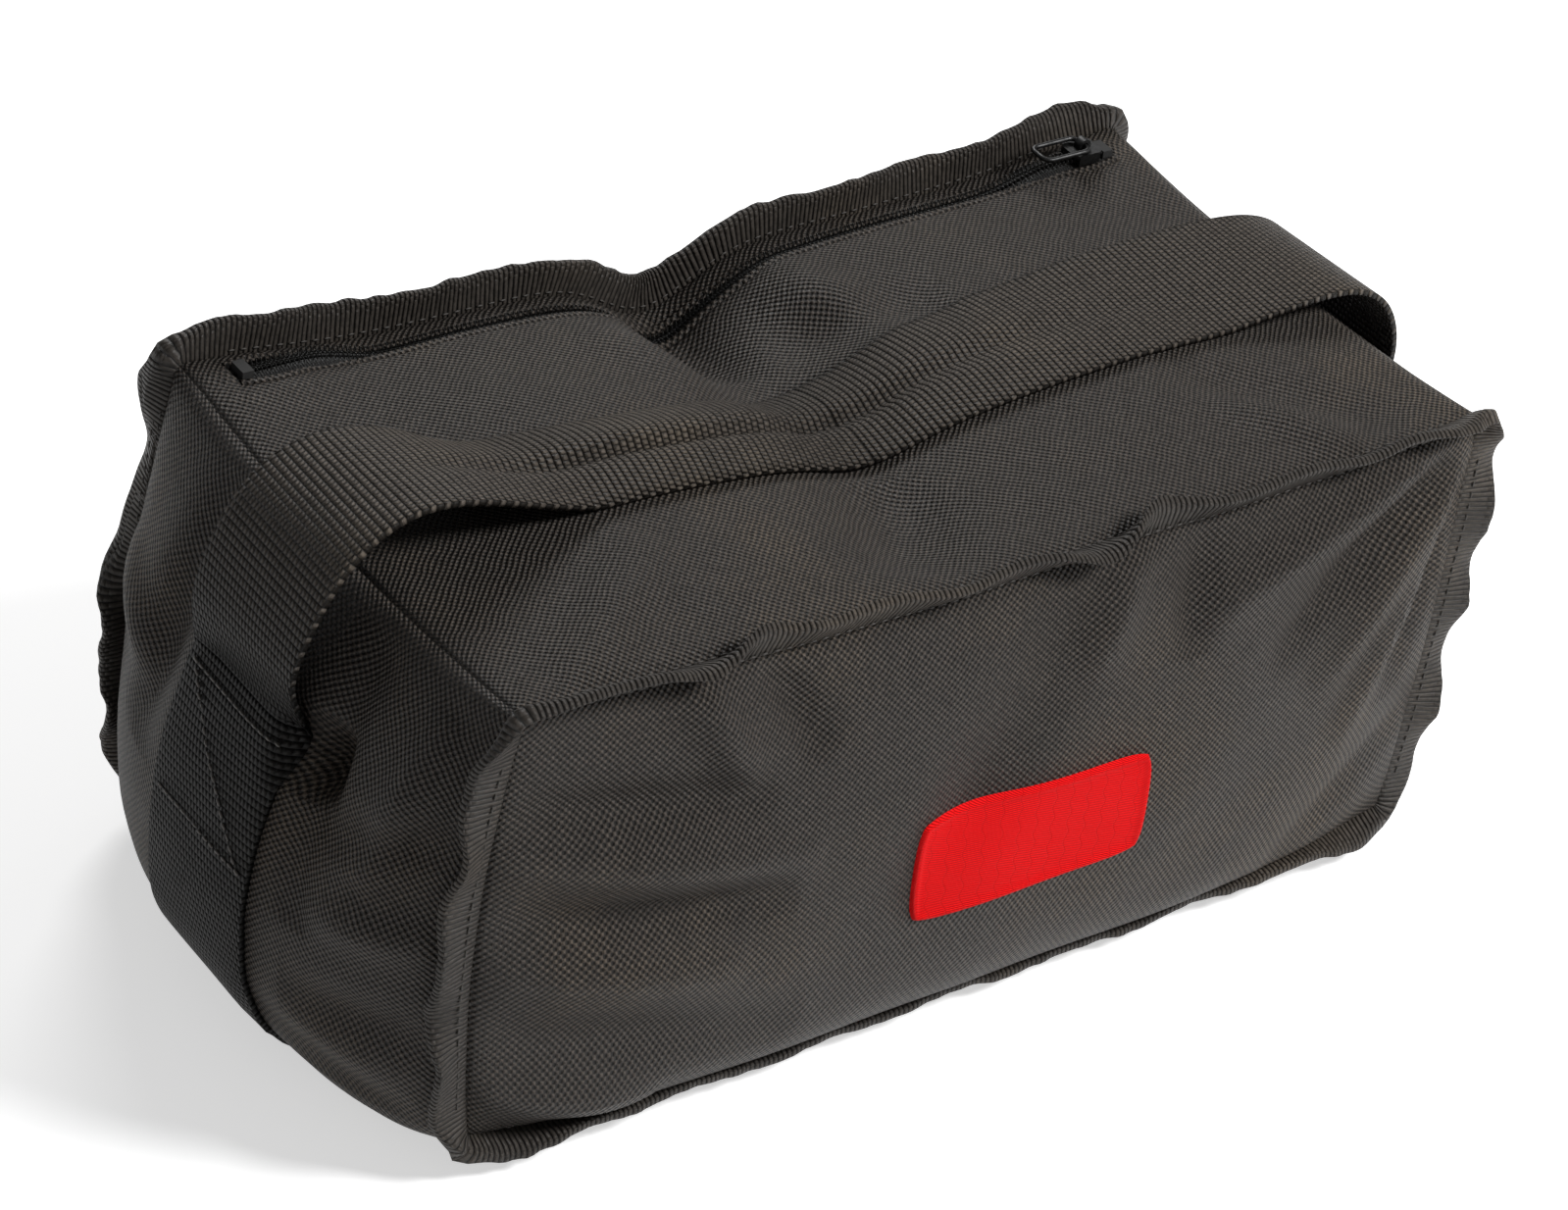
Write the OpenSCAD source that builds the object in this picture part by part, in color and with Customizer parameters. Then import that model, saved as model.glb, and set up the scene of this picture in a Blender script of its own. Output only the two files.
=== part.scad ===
// Sandbag: a sewn box of coated woven fabric that weighs down a lighting
// stand. Two sand pouches sit inside, a zip runs along the rear of the top,
// and one loop of webbing goes round both ends, under the bag and over the
// top, where its free part is the carry handle. Millimetres, +Z up, front
// at -Y; the origin is on the ground below the middle of the bag.

/* [Bag] */
// Length between the seams of the two ends
bag_length = 340; // [280:5:420]
// Depth between the front and back seams
bag_depth = 180; // [150:5:220]
// Height of the sewn side panels, from bottom seam to top seam
panel_height = 150; // [120:5:185]
// Thickness of the coated fabric
fabric_t = 0.8; // [0.5:0.1:1.2]
// How far the middle of each end swells past its seams
end_swell = 30; // [16:1:40]
// How far the front and back swell past their seams
face_swell = 16; // [8:1:24]
// How deep the underside would hang below its seams if the ground let it
belly_drop = 30; // [20:1:40]
// Depth of the dent between the two pouches, in the top
dent_depth = 14; // [6:1:18]
// Radius of that dent where it meets the flat top
dent_r = 60; // [40:1:66]
// How far that dent lies to the left of the middle
dent_shift = 10; // [0:1:20]

/* [Bound seams] */
// Width of the binding tape once it is folded over a seam
binding_w = 12; // [8:0.5:15]
// Thickness of the binding tape
binding_t = 0.9; // [0.5:0.1:1.4]
// How far the raw seam edges stop short of the fold of the binding
binding_fold = 2; // [1.2:0.1:3]

/* [Webbing] */
// Width of the webbing loop
web_w = 50; // [38:1:60]
// Thickness of the webbing
web_t = 1.8; // [1.2:0.1:2.6]
// Clearance between the webbing and the fabric it lies on
web_gap = 0.3; // [0.2:0.05:0.6]
// How far below the top seam the handle leaves the stitched webbing
anchor_drop = 44; // [36:1:56]
// Height of the Z of anchor stitching
anchor_h = 44; // [24:1:60]
// Width of each stitched line
stitch_w = 2.2; // [1.2:0.1:3]
// How far the stitching stands proud of the webbing
stitch_t = 0.5; // [0.3:0.1:1]
// Rise of the left arch of the handle above the top seam
left_arch = 20; // [14:1:30]
// Rise of the right arch of the handle above the top seam
right_arch = 5; // [3.5:0.5:12]

/* [Zip] */
// Distance from each end seam to the end of the zip tapes
zip_end_gap = 12; // [8:1:50]
// Distance of the zip's centre line in front of the back seam
zip_inset = 14; // [12:0.5:20]
// Thickness of the zip tape
tape_t = 0.8; // [0.5:0.1:1]
// Width of the front tape, from its coil to its sewn edge
tape_w = 14; // [10:0.5:16]
// Radius of each nylon coil
coil_r = 1.2; // [0.9:0.1:1.5]
// Gap between the two coils
coil_gap = 1.6; // [1.6:0.1:2]
// Running clearance of the slider round the coils and tapes
slider_gap = 0.3; // [0.25:0.05:0.5]
// Length of the slider
slider_l = 11; // [9:0.5:14]
// Thickness of the slider's two plates and of its sides
slider_wall = 1.2; // [0.9:0.1:1.5]
// Length of the pull ring
ring_l = 19; // [14:1:26]
// Width of the pull ring
ring_w = 10; // [8:0.5:12]
// Radius of the pull ring's wire
wire_r = 0.8; // [0.6:0.05:1]

/* [Badge] */
// Width of the embroidered badge on the front
badge_w = 84; // [50:1:110]
// Height of the badge
badge_h = 36; // [20:1:50]
// Thickness of the badge's thread
badge_t = 0.8; // [0.4:0.1:1.2]

/* [Sand pouches] */
// Thickness of the pouch liner
liner_t = 0.6; // [0.3:0.1:1]
// Space between the pouches and the bag, and between the two pouches
pouch_gap = 1; // [0.5:0.1:2]
// Free height between the flat top and the filled pouches
head_room = 24; // [22:1:34]
// Radius of the gathered neck of a pouch
neck_r = 6; // [4:0.5:8]
// Length of that neck
neck_l = 15; // [12:0.5:16]
// Radius of the cord that ties the neck
tie_r = 1.1; // [0.8:0.1:1.6]

/* [Hidden] */
$fn = 64;

half_l = bag_length / 2;
half_d = bag_depth / 2;
half_h = panel_height / 2;
// The folded binding just reaches the ground
seam_z = binding_w;
top_z = seam_z + panel_height;
mid_z = seam_z + half_h;
anchor_top = top_z - anchor_drop;
zip_length = bag_length - 2 * zip_end_gap;
// Larger than the whole bag, for cutting planes
reach = bag_length + bag_depth + panel_height;
// Width of the raw seam edges inside the binding
flange_w = binding_w - binding_fold;
flange_cut = 0.2;
seam_overlap = 0.4;
// How far the fabric's outside eases past the seam lines
seam_ease = 0.1;
// Facets of the wide arcs of the panels
panel_fn = 256;
// Tapes lie just below the top panel
tape_drop = 0.2;
zip_y = half_d - zip_inset;
tape_top = top_z - fabric_t - tape_drop;
tape_inner = coil_gap / 2 + 0.1;
coil_z = tape_top + coil_r;
coil_y = coil_gap / 2 + coil_r;
slider_half_w = coil_gap / 2 + 2 * coil_r + slider_gap + slider_wall;
// Folded edge of the top panel, beside the slider
hem_gap = 0.9;
hem_y = zip_y - slider_half_w - hem_gap;
badge_x = 5;
badge_z = seam_z + 0.4 * panel_height;
badge_corner = 6;

// Radius of the arc that rises by rise over a chord of twice half_chord
function arc_r(half_chord, rise) = (half_chord * half_chord + rise * rise) / (2 * rise);

// Distance of the end panel's surface from the middle, at height z
function end_x(z) = let (r = arc_r(half_h, end_swell))
    half_l + end_swell - r + sqrt(r * r - (z - mid_z) * (z - mid_z));

// Outline that is half_w by half_v with both sides swelled, then grown
module swelled(half_w, half_v, swell, grow) {
    r = arc_r(half_v, swell);
    intersection() {
        square([reach, 2 * (half_v + grow)], center = true);
        union() {
            square([2 * (half_w + min(grow, 0)), 2 * (half_v + grow)], center = true);
            for (side = [-1, 1]) intersection() {
                translate([side * (half_w + swell - r), 0]) circle(r + grow, $fn = panel_fn);
                translate([side * reach / 2, 0]) square(reach, center = true);
            }
        }
    }
}

// Underside of a view: a wide arc between the seams, flat on the ground
module belly(half_w, grow, ground) {
    r = arc_r(half_w, belly_drop);
    intersection() {
        translate([-half_w - min(grow, 0), ground])
            square([2 * (half_w + min(grow, 0)), mid_z - ground]);
        translate([0, seam_z - belly_drop + r]) circle(r + grow, $fn = panel_fn);
    }
}

// Outline seen from the front or from an end
module upright_outline(half_w, swell, grow, ground) {
    translate([0, mid_z]) swelled(half_w, half_h, swell, grow);
    belly(half_w, grow, ground);
}

// Outline seen from above, with all four sides swelled
module plan_outline(grow) {
    swelled(half_l, half_d, end_swell, grow);
    rotate(90) swelled(half_d, half_l, face_swell, grow);
}

// A front-view outline pushed through along Y, depth wide
module along_y(depth) {
    rotate([90, 0, 0]) linear_extrude(depth, center = true) children();
}

// An end-view outline pushed through along X, length wide
module along_x(length) {
    rotate([90, 0, 90]) linear_extrude(length, center = true) children();
}

// The bag's outer form, grown or shrunk by grow, without the dent. It rests
// on the ground, and a shallow groove in its underside holds the webbing.
module plain_form(grow) {
    groove_half = web_w / 2 + web_gap - grow;
    groove_top = web_t + web_gap - grow;
    ground = max(-grow, 0);
    difference() {
        intersection() {
            along_y(reach) upright_outline(half_l, end_swell, grow, ground);
            along_x(reach) upright_outline(half_d, face_swell, grow, ground);
            linear_extrude(reach, center = true) plan_outline(grow);
        }
        translate([-half_l, -groove_half, -1 - abs(grow)])
            cube([bag_length, 2 * groove_half, groove_top + 1 + abs(grow)]);
    }
}

dent_sphere_r = arc_r(dent_r, dent_depth);
// The dent is in the middle of the depth, or clear of the zip's folded edge
hem_margin = 6;
dent_y = min(0, hem_y - hem_margin - dent_r);

// The bag's outer form with the dent in its top
module bag_form(grow) {
    difference() {
        plain_form(grow);
        translate([-dent_shift, dent_y, top_z - dent_depth + dent_sphere_r])
            sphere(dent_sphere_r - grow, $fn = panel_fn);
    }
}

module fabric_shell() {
    difference() {
        bag_form(seam_ease);
        bag_form(-fabric_t);
    }
}

// A frame in the seam plane, from inner to outer past the seam
module seam_frame(inner, outer) {
    translate([0, mid_z]) difference() {
        square([2 * (half_l + outer), 2 * (half_h + outer)], center = true);
        square([2 * (half_l + inner), 2 * (half_h + inner)], center = true);
    }
}

// That frame as a sheet between two distances behind the front seam plane
module seam_sheet(inner, outer, from_y, to_y) {
    translate([0, -half_d + (from_y + to_y) / 2, 0])
        along_y(to_y - from_y) seam_frame(inner, outer);
}

module front_face() {
    intersection() {
        fabric_shell();
        translate([-reach / 2, -half_d - reach, -1]) cube([reach, reach, reach]);
    }
    seam_sheet(-1, flange_w, -fabric_t, 0);
}

// The four panels between the two seam planes, with their seam edges
module gusset() {
    intersection() {
        fabric_shell();
        translate([-reach / 2, -half_d, -1]) cube([reach, bag_depth, reach]);
    }
    for (turn = [0, 180]) rotate(turn)
        seam_sheet(-seam_overlap, flange_w, 0, fabric_t);
}

miter_in = head_room + dent_depth;
miter_out = 2 * end_swell;

// Region of the top panel: from corner to corner, mitred at 45 degrees
module top_region() {
    along_y(reach) polygon([
        [-half_l + miter_in, top_z - miter_in], [-half_l - miter_out, top_z + miter_out],
        [half_l + miter_out, top_z + miter_out], [half_l - miter_in, top_z - miter_in]]);
}

module bottom_region() {
    along_y(reach) polygon([
        [-half_l + miter_in, seam_z + miter_in], [half_l - miter_in, seam_z + miter_in],
        [half_l + miter_out, seam_z - miter_out], [-half_l - miter_out, seam_z - miter_out]]);
}

module left_region() {
    along_y(reach) polygon([
        [-half_l + miter_in, top_z - miter_in], [-half_l + miter_in, seam_z + miter_in],
        [-half_l - miter_out, seam_z - miter_out], [-half_l - miter_out, top_z + miter_out]]);
}

module front_panel() {
    color("#33322f") front_face();
}

module back_panel() {
    color("#33322f") rotate(180) front_face();
}

module top_panel() {
    color("#3a3834") difference() {
        intersection() {
            gusset();
            top_region();
        }
        translate([-zip_length / 2 - 0.2, hem_y, top_z - 2])
            cube([zip_length + 0.4, half_d - hem_y + 1, 2 + binding_w]);
    }
}

module bottom_panel() {
    color("#2c2b29") intersection() {
        gusset();
        bottom_region();
    }
}

module left_end_panel() {
    color("#35342f") intersection() {
        gusset();
        left_region();
    }
}

module right_end_panel() {
    color("#35342f") mirror([1, 0, 0]) intersection() {
        gusset();
        left_region();
    }
}

// Binding tape folded over the raw edges of the front seam
module folded_binding() {
    difference() {
        seam_sheet(fabric_t, binding_w, -fabric_t - binding_t, fabric_t + binding_t);
        seam_sheet(-1, flange_w + flange_cut, -fabric_t - 0.01, fabric_t + 0.01);
        plain_form(0.1);
    }
}

module front_binding() {
    color("#201f1e") folded_binding();
}

module back_binding() {
    color("#201f1e") rotate(180) folded_binding();
}

// Layer of webbing round the ends and the underside, seen from the front
module webbing_ring(inner, outer, ground_in, ground_out) {
    difference() {
        upright_outline(half_l, end_swell, outer, ground_out);
        upright_outline(half_l, end_swell, inner, ground_in);
    }
}

// Half of the gap that parts the handle from the stitched webbing
handle_part = 0.2;

module base_webbing() {
    color("#262524") intersection() {
        along_y(web_w) webbing_ring(web_gap, web_gap + web_t, web_t, 0);
        translate([-reach / 2, -web_w, -1]) cube([reach, 2 * web_w, anchor_top - handle_part + 1]);
    }
}

// Clearance of the handle over the top panel, where it bends with the dent
rest_gap = 1.6;

// Height of the middle of the handle's thickness where it lies on the top
function rest_z(x) =
    let (side = web_w / 2 - dent_y, span = x + dent_shift,
        far2 = span * span + side * side,
        dip = far2 < dent_r * dent_r
            ? top_z - dent_depth + dent_sphere_r - sqrt(dent_sphere_r * dent_sphere_r - far2)
            : top_z)
    dip + web_t / 2 + rest_gap;

leg_x = end_x(anchor_top) - half_l + web_gap + web_t / 2;
// Arches over the two top corners: distance past the corner, height above it
left_arch_route = [[leg_x, handle_part - anchor_drop], [leg_x, -32], [leg_x - 1, -20],
    [leg_x - 5, -8], [15, left_arch - 15], [4, left_arch - 4], [-9, left_arch],
    [-24, left_arch - 2], [-42, left_arch - 9], [-58, 5]];
right_arch_route = [[leg_x, handle_part - anchor_drop], [leg_x + 1, -32],
    [leg_x + 2, -20], [24, -8], [13, right_arch - 2.5], [-3, right_arch],
    [-28, right_arch - 1], [-52, right_arch - 1.5]];
rest_step = 15;
rest_half = 6;
handle_route = concat(
    [for (p = left_arch_route) [-half_l - p[0], top_z + p[1]]],
    [for (i = [-rest_half:rest_half]) [i * rest_step, rest_z(i * rest_step)]],
    [for (i = [len(right_arch_route) - 1:-1:0])
        [half_l + right_arch_route[i][0], top_z + right_arch_route[i][1]]]);

// A point on the smooth curve through a, b, c and d, at share t from b to c
function smooth_point(a, b, c, d, t) =
    0.5 * (2 * b + t * (c - a) + t * t * (2 * a - 5 * b + 4 * c - d)
        + t * t * t * (3 * b - a - 3 * c + d));

function smooth_route(p, steps) = concat(
    [for (i = [0:len(p) - 2]) for (k = [0:steps - 1])
        smooth_point(p[max(i - 1, 0)], p[i], p[i + 1], p[min(i + 2, len(p) - 1)], k / steps)],
    [p[len(p) - 1]]);

// Both sides of a strip of thickness t that follows the route p
function strip_side(p, off) = [for (i = [0:len(p) - 1])
    let (a = p[max(i - 1, 0)], b = p[min(i + 1, len(p) - 1)], d = (b - a) / norm(b - a))
    p[i] + off * [-d[1], d[0]]];

function reversed(p) = [for (i = [len(p) - 1:-1:0]) p[i]];

module carry_handle() {
    line = smooth_route(handle_route, 4);
    color("#262524") along_y(web_w)
        polygon(concat(strip_side(line, web_t / 2), reversed(strip_side(line, -web_t / 2))));
}

stitch_margin = 4;

// Z of stitched lines, seen from outside the left end
module anchor_lines() {
    half_run = web_w / 2 - stitch_margin;
    high = anchor_top - stitch_margin;
    low = high - anchor_h;
    for (z = [high, low])
        translate([0, z]) square([2 * half_run, stitch_w], center = true);
    translate([0, (high + low) / 2])
        rotate(-atan2(anchor_h, 2 * half_run))
            square([norm([anchor_h, 2 * half_run]) - stitch_w, stitch_w], center = true);
}

module end_stitching() {
    proud = web_gap + web_t;
    intersection() {
        along_y(web_w) webbing_ring(proud, proud + stitch_t, 0, 0);
        translate([-reach / 2, 0, 0]) along_x(reach) anchor_lines();
    }
}

module left_anchor_stitching() {
    color("#1c1b1a") end_stitching();
}

module right_anchor_stitching() {
    color("#1c1b1a") rotate(180) end_stitching();
}

module front_badge() {
    color("#b3202a") intersection() {
        difference() {
            plain_form(badge_t + 0.1);
            plain_form(0.1);
        }
        translate([badge_x, -half_d - face_swell / 2, badge_z]) along_y(face_swell + 20)
            hull() for (x = [-1, 1], z = [-1, 1])
                translate([x * (badge_w / 2 - badge_corner), z * (badge_h / 2 - badge_corner)])
                    circle(badge_corner, $fn = 32);
    }
}

module zip_tape_front() {
    color("#1d1d1c") translate([-zip_length / 2, zip_y - tape_w, tape_top - tape_t])
        cube([zip_length, tape_w - tape_inner, tape_t]);
}

// The rear tape turns up into the back seam in place of the panel's edge
module zip_tape_rear() {
    color("#1d1d1c") translate([-zip_length / 2, 0, tape_top - tape_t]) {
        translate([0, zip_y + tape_inner, 0])
            cube([zip_length, zip_inset - tape_inner, tape_t]);
        translate([0, half_d - fabric_t, 0])
            cube([zip_length, fabric_t, top_z + flange_w - tape_top + tape_t]);
    }
}

stop_l = 3.6;
coil_end = zip_length / 2 - 1.5 - stop_l;

module coil_bar(side) {
    color("#121212") translate([-coil_end, zip_y + side * coil_y, coil_z])
        rotate([0, 90, 0]) cylinder(2 * coil_end, r = coil_r);
}

module zip_coil_front() {
    coil_bar(-1);
}

module zip_coil_rear() {
    coil_bar(1);
}

module zip_end_stops() {
    color("#8d8d8b") for (side = [-1, 1])
        translate([side * (coil_end + 0.2 + stop_l / 2), zip_y, tape_top + coil_r])
            cube([stop_l, 2 * (coil_y + coil_r), 2 * coil_r], center = true);
}

// Slider closed at the right end of the coils
slider_x = coil_end - slider_l / 2 - 1;
slider_roof = coil_z + coil_r + slider_gap;
bail_r = wire_r + 0.35;
bail_z = slider_roof + slider_wall + bail_r;
post_w = coil_gap - 2 * slider_gap;

module zip_slider() {
    side_h = slider_roof - tape_top - slider_gap;
    floor_z = tape_top - tape_t - slider_gap - slider_wall;
    color("#b9bab8") translate([slider_x, zip_y, 0]) difference() {
        union() {
            for (z = [slider_roof, floor_z]) translate([0, 0, z])
                linear_extrude(slider_wall) slider_plate();
            for (side = [-1, 1])
                translate([-slider_l / 2 + 1.5, side * (slider_half_w - slider_wall / 2)
                    - slider_wall / 2, slider_roof - side_h])
                    cube([slider_l - 3, slider_wall, side_h + slider_wall / 2]);
            translate([0, -post_w / 2, floor_z + slider_wall / 2])
                cube([slider_l / 2 - 1.5, post_w, slider_roof - floor_z]);
            translate([0, 0, bail_z]) rotate([90, 0, 0])
                cylinder(3, r = bail_r + 1, center = true);
            translate([0, 0, bail_z - bail_r / 2 - 0.5])
                cube([2 * bail_r + 2, 3, bail_r + 1], center = true);
        }
        translate([0, 0, bail_z]) rotate([90, 0, 0]) cylinder(4, r = bail_r, center = true);
    }
}

module slider_plate() {
    nose = 2.5;
    hull() for (x = [-1, 1], y = [-1, 1])
        translate([x * (slider_l / 2 - nose), y * (slider_half_w - nose)]) circle(nose, $fn = 32);
}

// A rounded ring of wire, its near bar on the pull's axis
module wire_ring(length, width, bend) {
    straight_x = length - 2 * bend;
    straight_y = width - 2 * bend;
    for (flip = [0, 1]) mirror([0, flip, 0]) {
        translate([-bend, straight_y / 2, 0]) rotate_extrude(angle = 90) wire_disc(bend);
        translate([-bend - straight_x, straight_y / 2, 0]) rotate(90)
            rotate_extrude(angle = 90) wire_disc(bend);
        translate([-bend - straight_x, width / 2, 0]) rotate([0, 90, 0])
            cylinder(straight_x, r = wire_r);
    }
    for (x = [0, -length])
        translate([x, 0, 0]) rotate([90, 0, 0]) cylinder(straight_y, r = wire_r, center = true);
}

module wire_disc(bend) {
    translate([bend, 0]) circle(wire_r);
}

module zip_pull() {
    ring_bend = 2.6;
    color("#c9cac8") translate([slider_x, zip_y, bail_z])
        wire_ring(ring_l - 2 * wire_r, ring_w - 2 * wire_r, ring_bend);
}

pouch_top = top_z - head_room;

// Space of the left pouch, a distance in from the bag's inside
module pouch_space(inset) {
    intersection() {
        plain_form(-fabric_t - pouch_gap - inset);
        translate([-reach, -reach / 2, 0])
            cube([reach - pouch_gap / 2 - inset, reach, pouch_top - inset]);
    }
}

neck_x = -half_l / 2 - dent_shift;
fill_hole_r = neck_r / 4;

module left_liner() {
    difference() {
        union() {
            pouch_space(0);
            translate([neck_x, 0, pouch_top - liner_t]) cylinder(neck_l + liner_t, r = neck_r);
        }
        pouch_space(liner_t);
        // Filling hole down the gathered neck, so that the pouch is open inside
        translate([neck_x, 0, pouch_top - 3 * liner_t])
            cylinder(neck_l + 4 * liner_t, r = fill_hole_r);
    }
}

module left_fill() {
    pouch_space(liner_t + 0.05);
}

// A cord wound once round the neck, with its knot
module neck_tie() {
    ring_r = neck_r + tie_r + 0.1;
    translate([neck_x, 0, pouch_top + neck_l / 2]) {
        rotate_extrude() translate([ring_r, 0]) circle(tie_r);
        translate([0, -ring_r - tie_r, 0]) sphere(1.6 * tie_r);
    }
}

module left_pouch() {
    color("#4a4a48") left_liner();
}

module right_pouch() {
    color("#4a4a48") mirror([1, 0, 0]) left_liner();
}

module left_sand() {
    color("#c2a878") left_fill();
}

module right_sand() {
    color("#c2a878") mirror([1, 0, 0]) left_fill();
}

module left_pouch_tie() {
    color("#d8d6d0") neck_tie();
}

module right_pouch_tie() {
    color("#d8d6d0") mirror([1, 0, 0]) neck_tie();
}

front_panel();
back_panel();
top_panel();
bottom_panel();
left_end_panel();
right_end_panel();
front_binding();
back_binding();
base_webbing();
carry_handle();
left_anchor_stitching();
right_anchor_stitching();
front_badge();
zip_tape_front();
zip_tape_rear();
zip_coil_front();
zip_coil_rear();
zip_end_stops();
zip_slider();
zip_pull();
left_pouch();
right_pouch();
left_sand();
right_sand();
left_pouch_tie();
right_pouch_tie();
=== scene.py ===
import math

import bmesh
import bpy
import numpy as np
from mathutils import Matrix, Vector
from mathutils.bvhtree import BVHTree


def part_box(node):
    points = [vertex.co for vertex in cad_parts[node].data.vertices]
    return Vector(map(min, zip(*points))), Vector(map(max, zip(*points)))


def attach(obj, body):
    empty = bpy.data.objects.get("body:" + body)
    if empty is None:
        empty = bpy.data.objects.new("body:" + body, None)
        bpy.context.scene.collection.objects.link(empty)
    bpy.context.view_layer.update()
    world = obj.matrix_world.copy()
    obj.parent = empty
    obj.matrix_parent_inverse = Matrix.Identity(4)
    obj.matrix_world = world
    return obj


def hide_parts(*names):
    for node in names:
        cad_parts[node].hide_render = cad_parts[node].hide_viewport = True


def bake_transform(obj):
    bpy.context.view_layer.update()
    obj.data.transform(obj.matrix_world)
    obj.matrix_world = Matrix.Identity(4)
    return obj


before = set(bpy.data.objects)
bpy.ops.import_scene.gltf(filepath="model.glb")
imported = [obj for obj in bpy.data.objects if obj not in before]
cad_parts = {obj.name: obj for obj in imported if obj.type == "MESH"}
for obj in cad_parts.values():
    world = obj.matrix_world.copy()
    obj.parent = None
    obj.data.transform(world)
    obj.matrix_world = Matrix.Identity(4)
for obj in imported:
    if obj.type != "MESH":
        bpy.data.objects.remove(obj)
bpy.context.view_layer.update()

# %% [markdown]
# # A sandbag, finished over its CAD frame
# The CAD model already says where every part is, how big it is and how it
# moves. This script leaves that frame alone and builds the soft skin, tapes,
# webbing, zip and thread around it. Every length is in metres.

MM = 0.001
HALF_LONG = 170 * MM        # the sewn seams stand at x = -170 and 170 mm
HALF_DEEP = 90 * MM         # and at y = -90 and 90 mm
SEAM_LOW, SEAM_HIGH = 12 * MM, 162 * MM
FABRIC_THICK = 0.8 * MM
WEB_WIDE = 50 * MM
OUTSIDE = 300 * MM          # lines of sight towards the bag start this far out


def finish_piece(piece, body, slot, *nodes):
    """Hang a finished piece on its body and stand it in for its CAD nodes, which are hidden; slot is not
    used.
    """
    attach(piece, body)
    if nodes:
        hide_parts(*nodes)
    return piece


# %% [markdown]
# ## The sewn box
# The real bag is six flat panels sewn into a box. A box of the seam sizes,
# cut into a grid of small faces, is the simplest start: each point remembers
# where it was on the flat panel, so the filled shape, the weave and the
# stitch lines can all be worked out from that flat place later.
# A knife plane (bisect) for every grid line keeps all faces square, which
# cloth likes better than triangles.

# %% Cut the box into a grid
GRID = 6 * MM
ZIP_Y, ZIP_HALF = 76 * MM, 158 * MM          # line of the zip, and half its length
SLOT_FRONT, SLOT_REAR = 73.4 * MM, 79 * MM   # edges of the zip's opening
GAPE_X, GAPE_WIDE = 148 * MM, 12 * MM        # where the opening gapes round the slider
PANELS = ["front", "back", "left_end", "right_end", "bottom", "top"]


def panel_of(normal):
    """Number of the panel that a face of the box belongs to, from the way it faces."""
    axis = max(range(3), key=lambda i: abs(normal[i]))
    return {(1, False): 0, (1, True): 1, (0, False): 2, (0, True): 3,
            (2, False): 4, (2, True): 5}[(axis, normal[axis] > 0)]


def grid_lines(low, high, step, extra=()):
    """Places of the cuts between low and high, with the extra ones put in by moving their neighbours."""
    count = max(2, round((high - low) / step))
    lines = [low + (high - low) * k / count for k in range(1, count)]
    for place in extra:
        lines[min(range(len(lines)), key=lambda k: abs(lines[k] - place))] = place
    return lines


def sewn_box():
    """Six flat panels sewn into a box, cut into a grid, with a crease on every seam."""
    bm = bmesh.new()
    bmesh.ops.create_cube(bm, size=1)
    bmesh.ops.scale(bm, vec=(2 * HALF_LONG, 2 * HALF_DEEP, SEAM_HIGH - SEAM_LOW), verts=bm.verts)
    bmesh.ops.translate(bm, vec=(0, 0, (SEAM_LOW + SEAM_HIGH) / 2), verts=bm.verts)
    panel = bm.faces.layers.int.new("panel")
    for face in bm.faces:
        face[panel] = panel_of(face.normal)
    cuts = [(Vector((1, 0, 0)), grid_lines(-HALF_LONG, HALF_LONG, GRID)),
            (Vector((0, 1, 0)), grid_lines(-HALF_DEEP, HALF_DEEP, GRID, (SLOT_FRONT, SLOT_REAR))),
            (Vector((0, 0, 1)), grid_lines(SEAM_LOW, SEAM_HIGH, GRID))]
    for way, places in cuts:
        for place in places:
            bmesh.ops.bisect_plane(bm, geom=bm.verts[:] + bm.edges[:] + bm.faces[:],
                                   dist=1e-7, plane_co=way * place, plane_no=way)
    crease = bm.edges.layers.float.new("crease_edge")
    for edge in bm.edges:
        if len({face[panel] for face in edge.link_faces}) > 1:
            edge[crease] = 1.0
    mesh = bpy.data.meshes.new("bag_skin")
    bm.to_mesh(mesh)
    bm.free()
    skin = bpy.data.objects.new("bag_skin", mesh)
    bpy.context.scene.collection.objects.link(skin)
    flat = mesh.attributes.new("flat", "FLOAT_VECTOR", "POINT")
    flat.data.foreach_set("vector", places_of(mesh).ravel())
    return skin


def places_of(mesh):
    """Places of all points of a mesh."""
    co = np.zeros(len(mesh.vertices) * 3)
    mesh.vertices.foreach_get("co", co)
    return co.reshape(-1, 3)


def put_places(mesh, co):
    """Moves all points of a mesh to new places."""
    mesh.vertices.foreach_set("co", np.asarray(co, float).ravel())
    mesh.update()


def flat_places(mesh):
    """Where each point was on its flat panel."""
    values = np.zeros(len(mesh.vertices) * 3)
    mesh.attributes["flat"].data.foreach_get("vector", values)
    return values.reshape(-1, 3)


skin = sewn_box()
print("sewn box:", len(skin.data.polygons), "faces")

# %% [markdown]
# ## Filled with sand
# Sand slumps. The ends belly out low down, the front swells, the top hangs a
# little between its seams, and the rear edge drops in a notch between the two
# pouches inside. Simple curves of the flat place give those large shapes:
# `a`, `b` and `c` run from -1 to 1 along the length and the depth, and from
# 0 to 1 up the height.

# %% Large shape of the filled bag
# (share of the height, swell in mm) up the middle of an end and of the front
END_BELLY = [(0, 16), (0.06, 27), (0.14, 32.5), (0.3, 35), (0.5, 32.5), (0.7, 25.5), (0.85, 15), (1, 0)]
FACE_BELLY = [(0, -4), (0.05, 3), (0.09, 9.5), (0.14, 14), (0.3, 17.5), (0.5, 16), (0.7, 12),
              (0.85, 7), (1, 0)]
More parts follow.
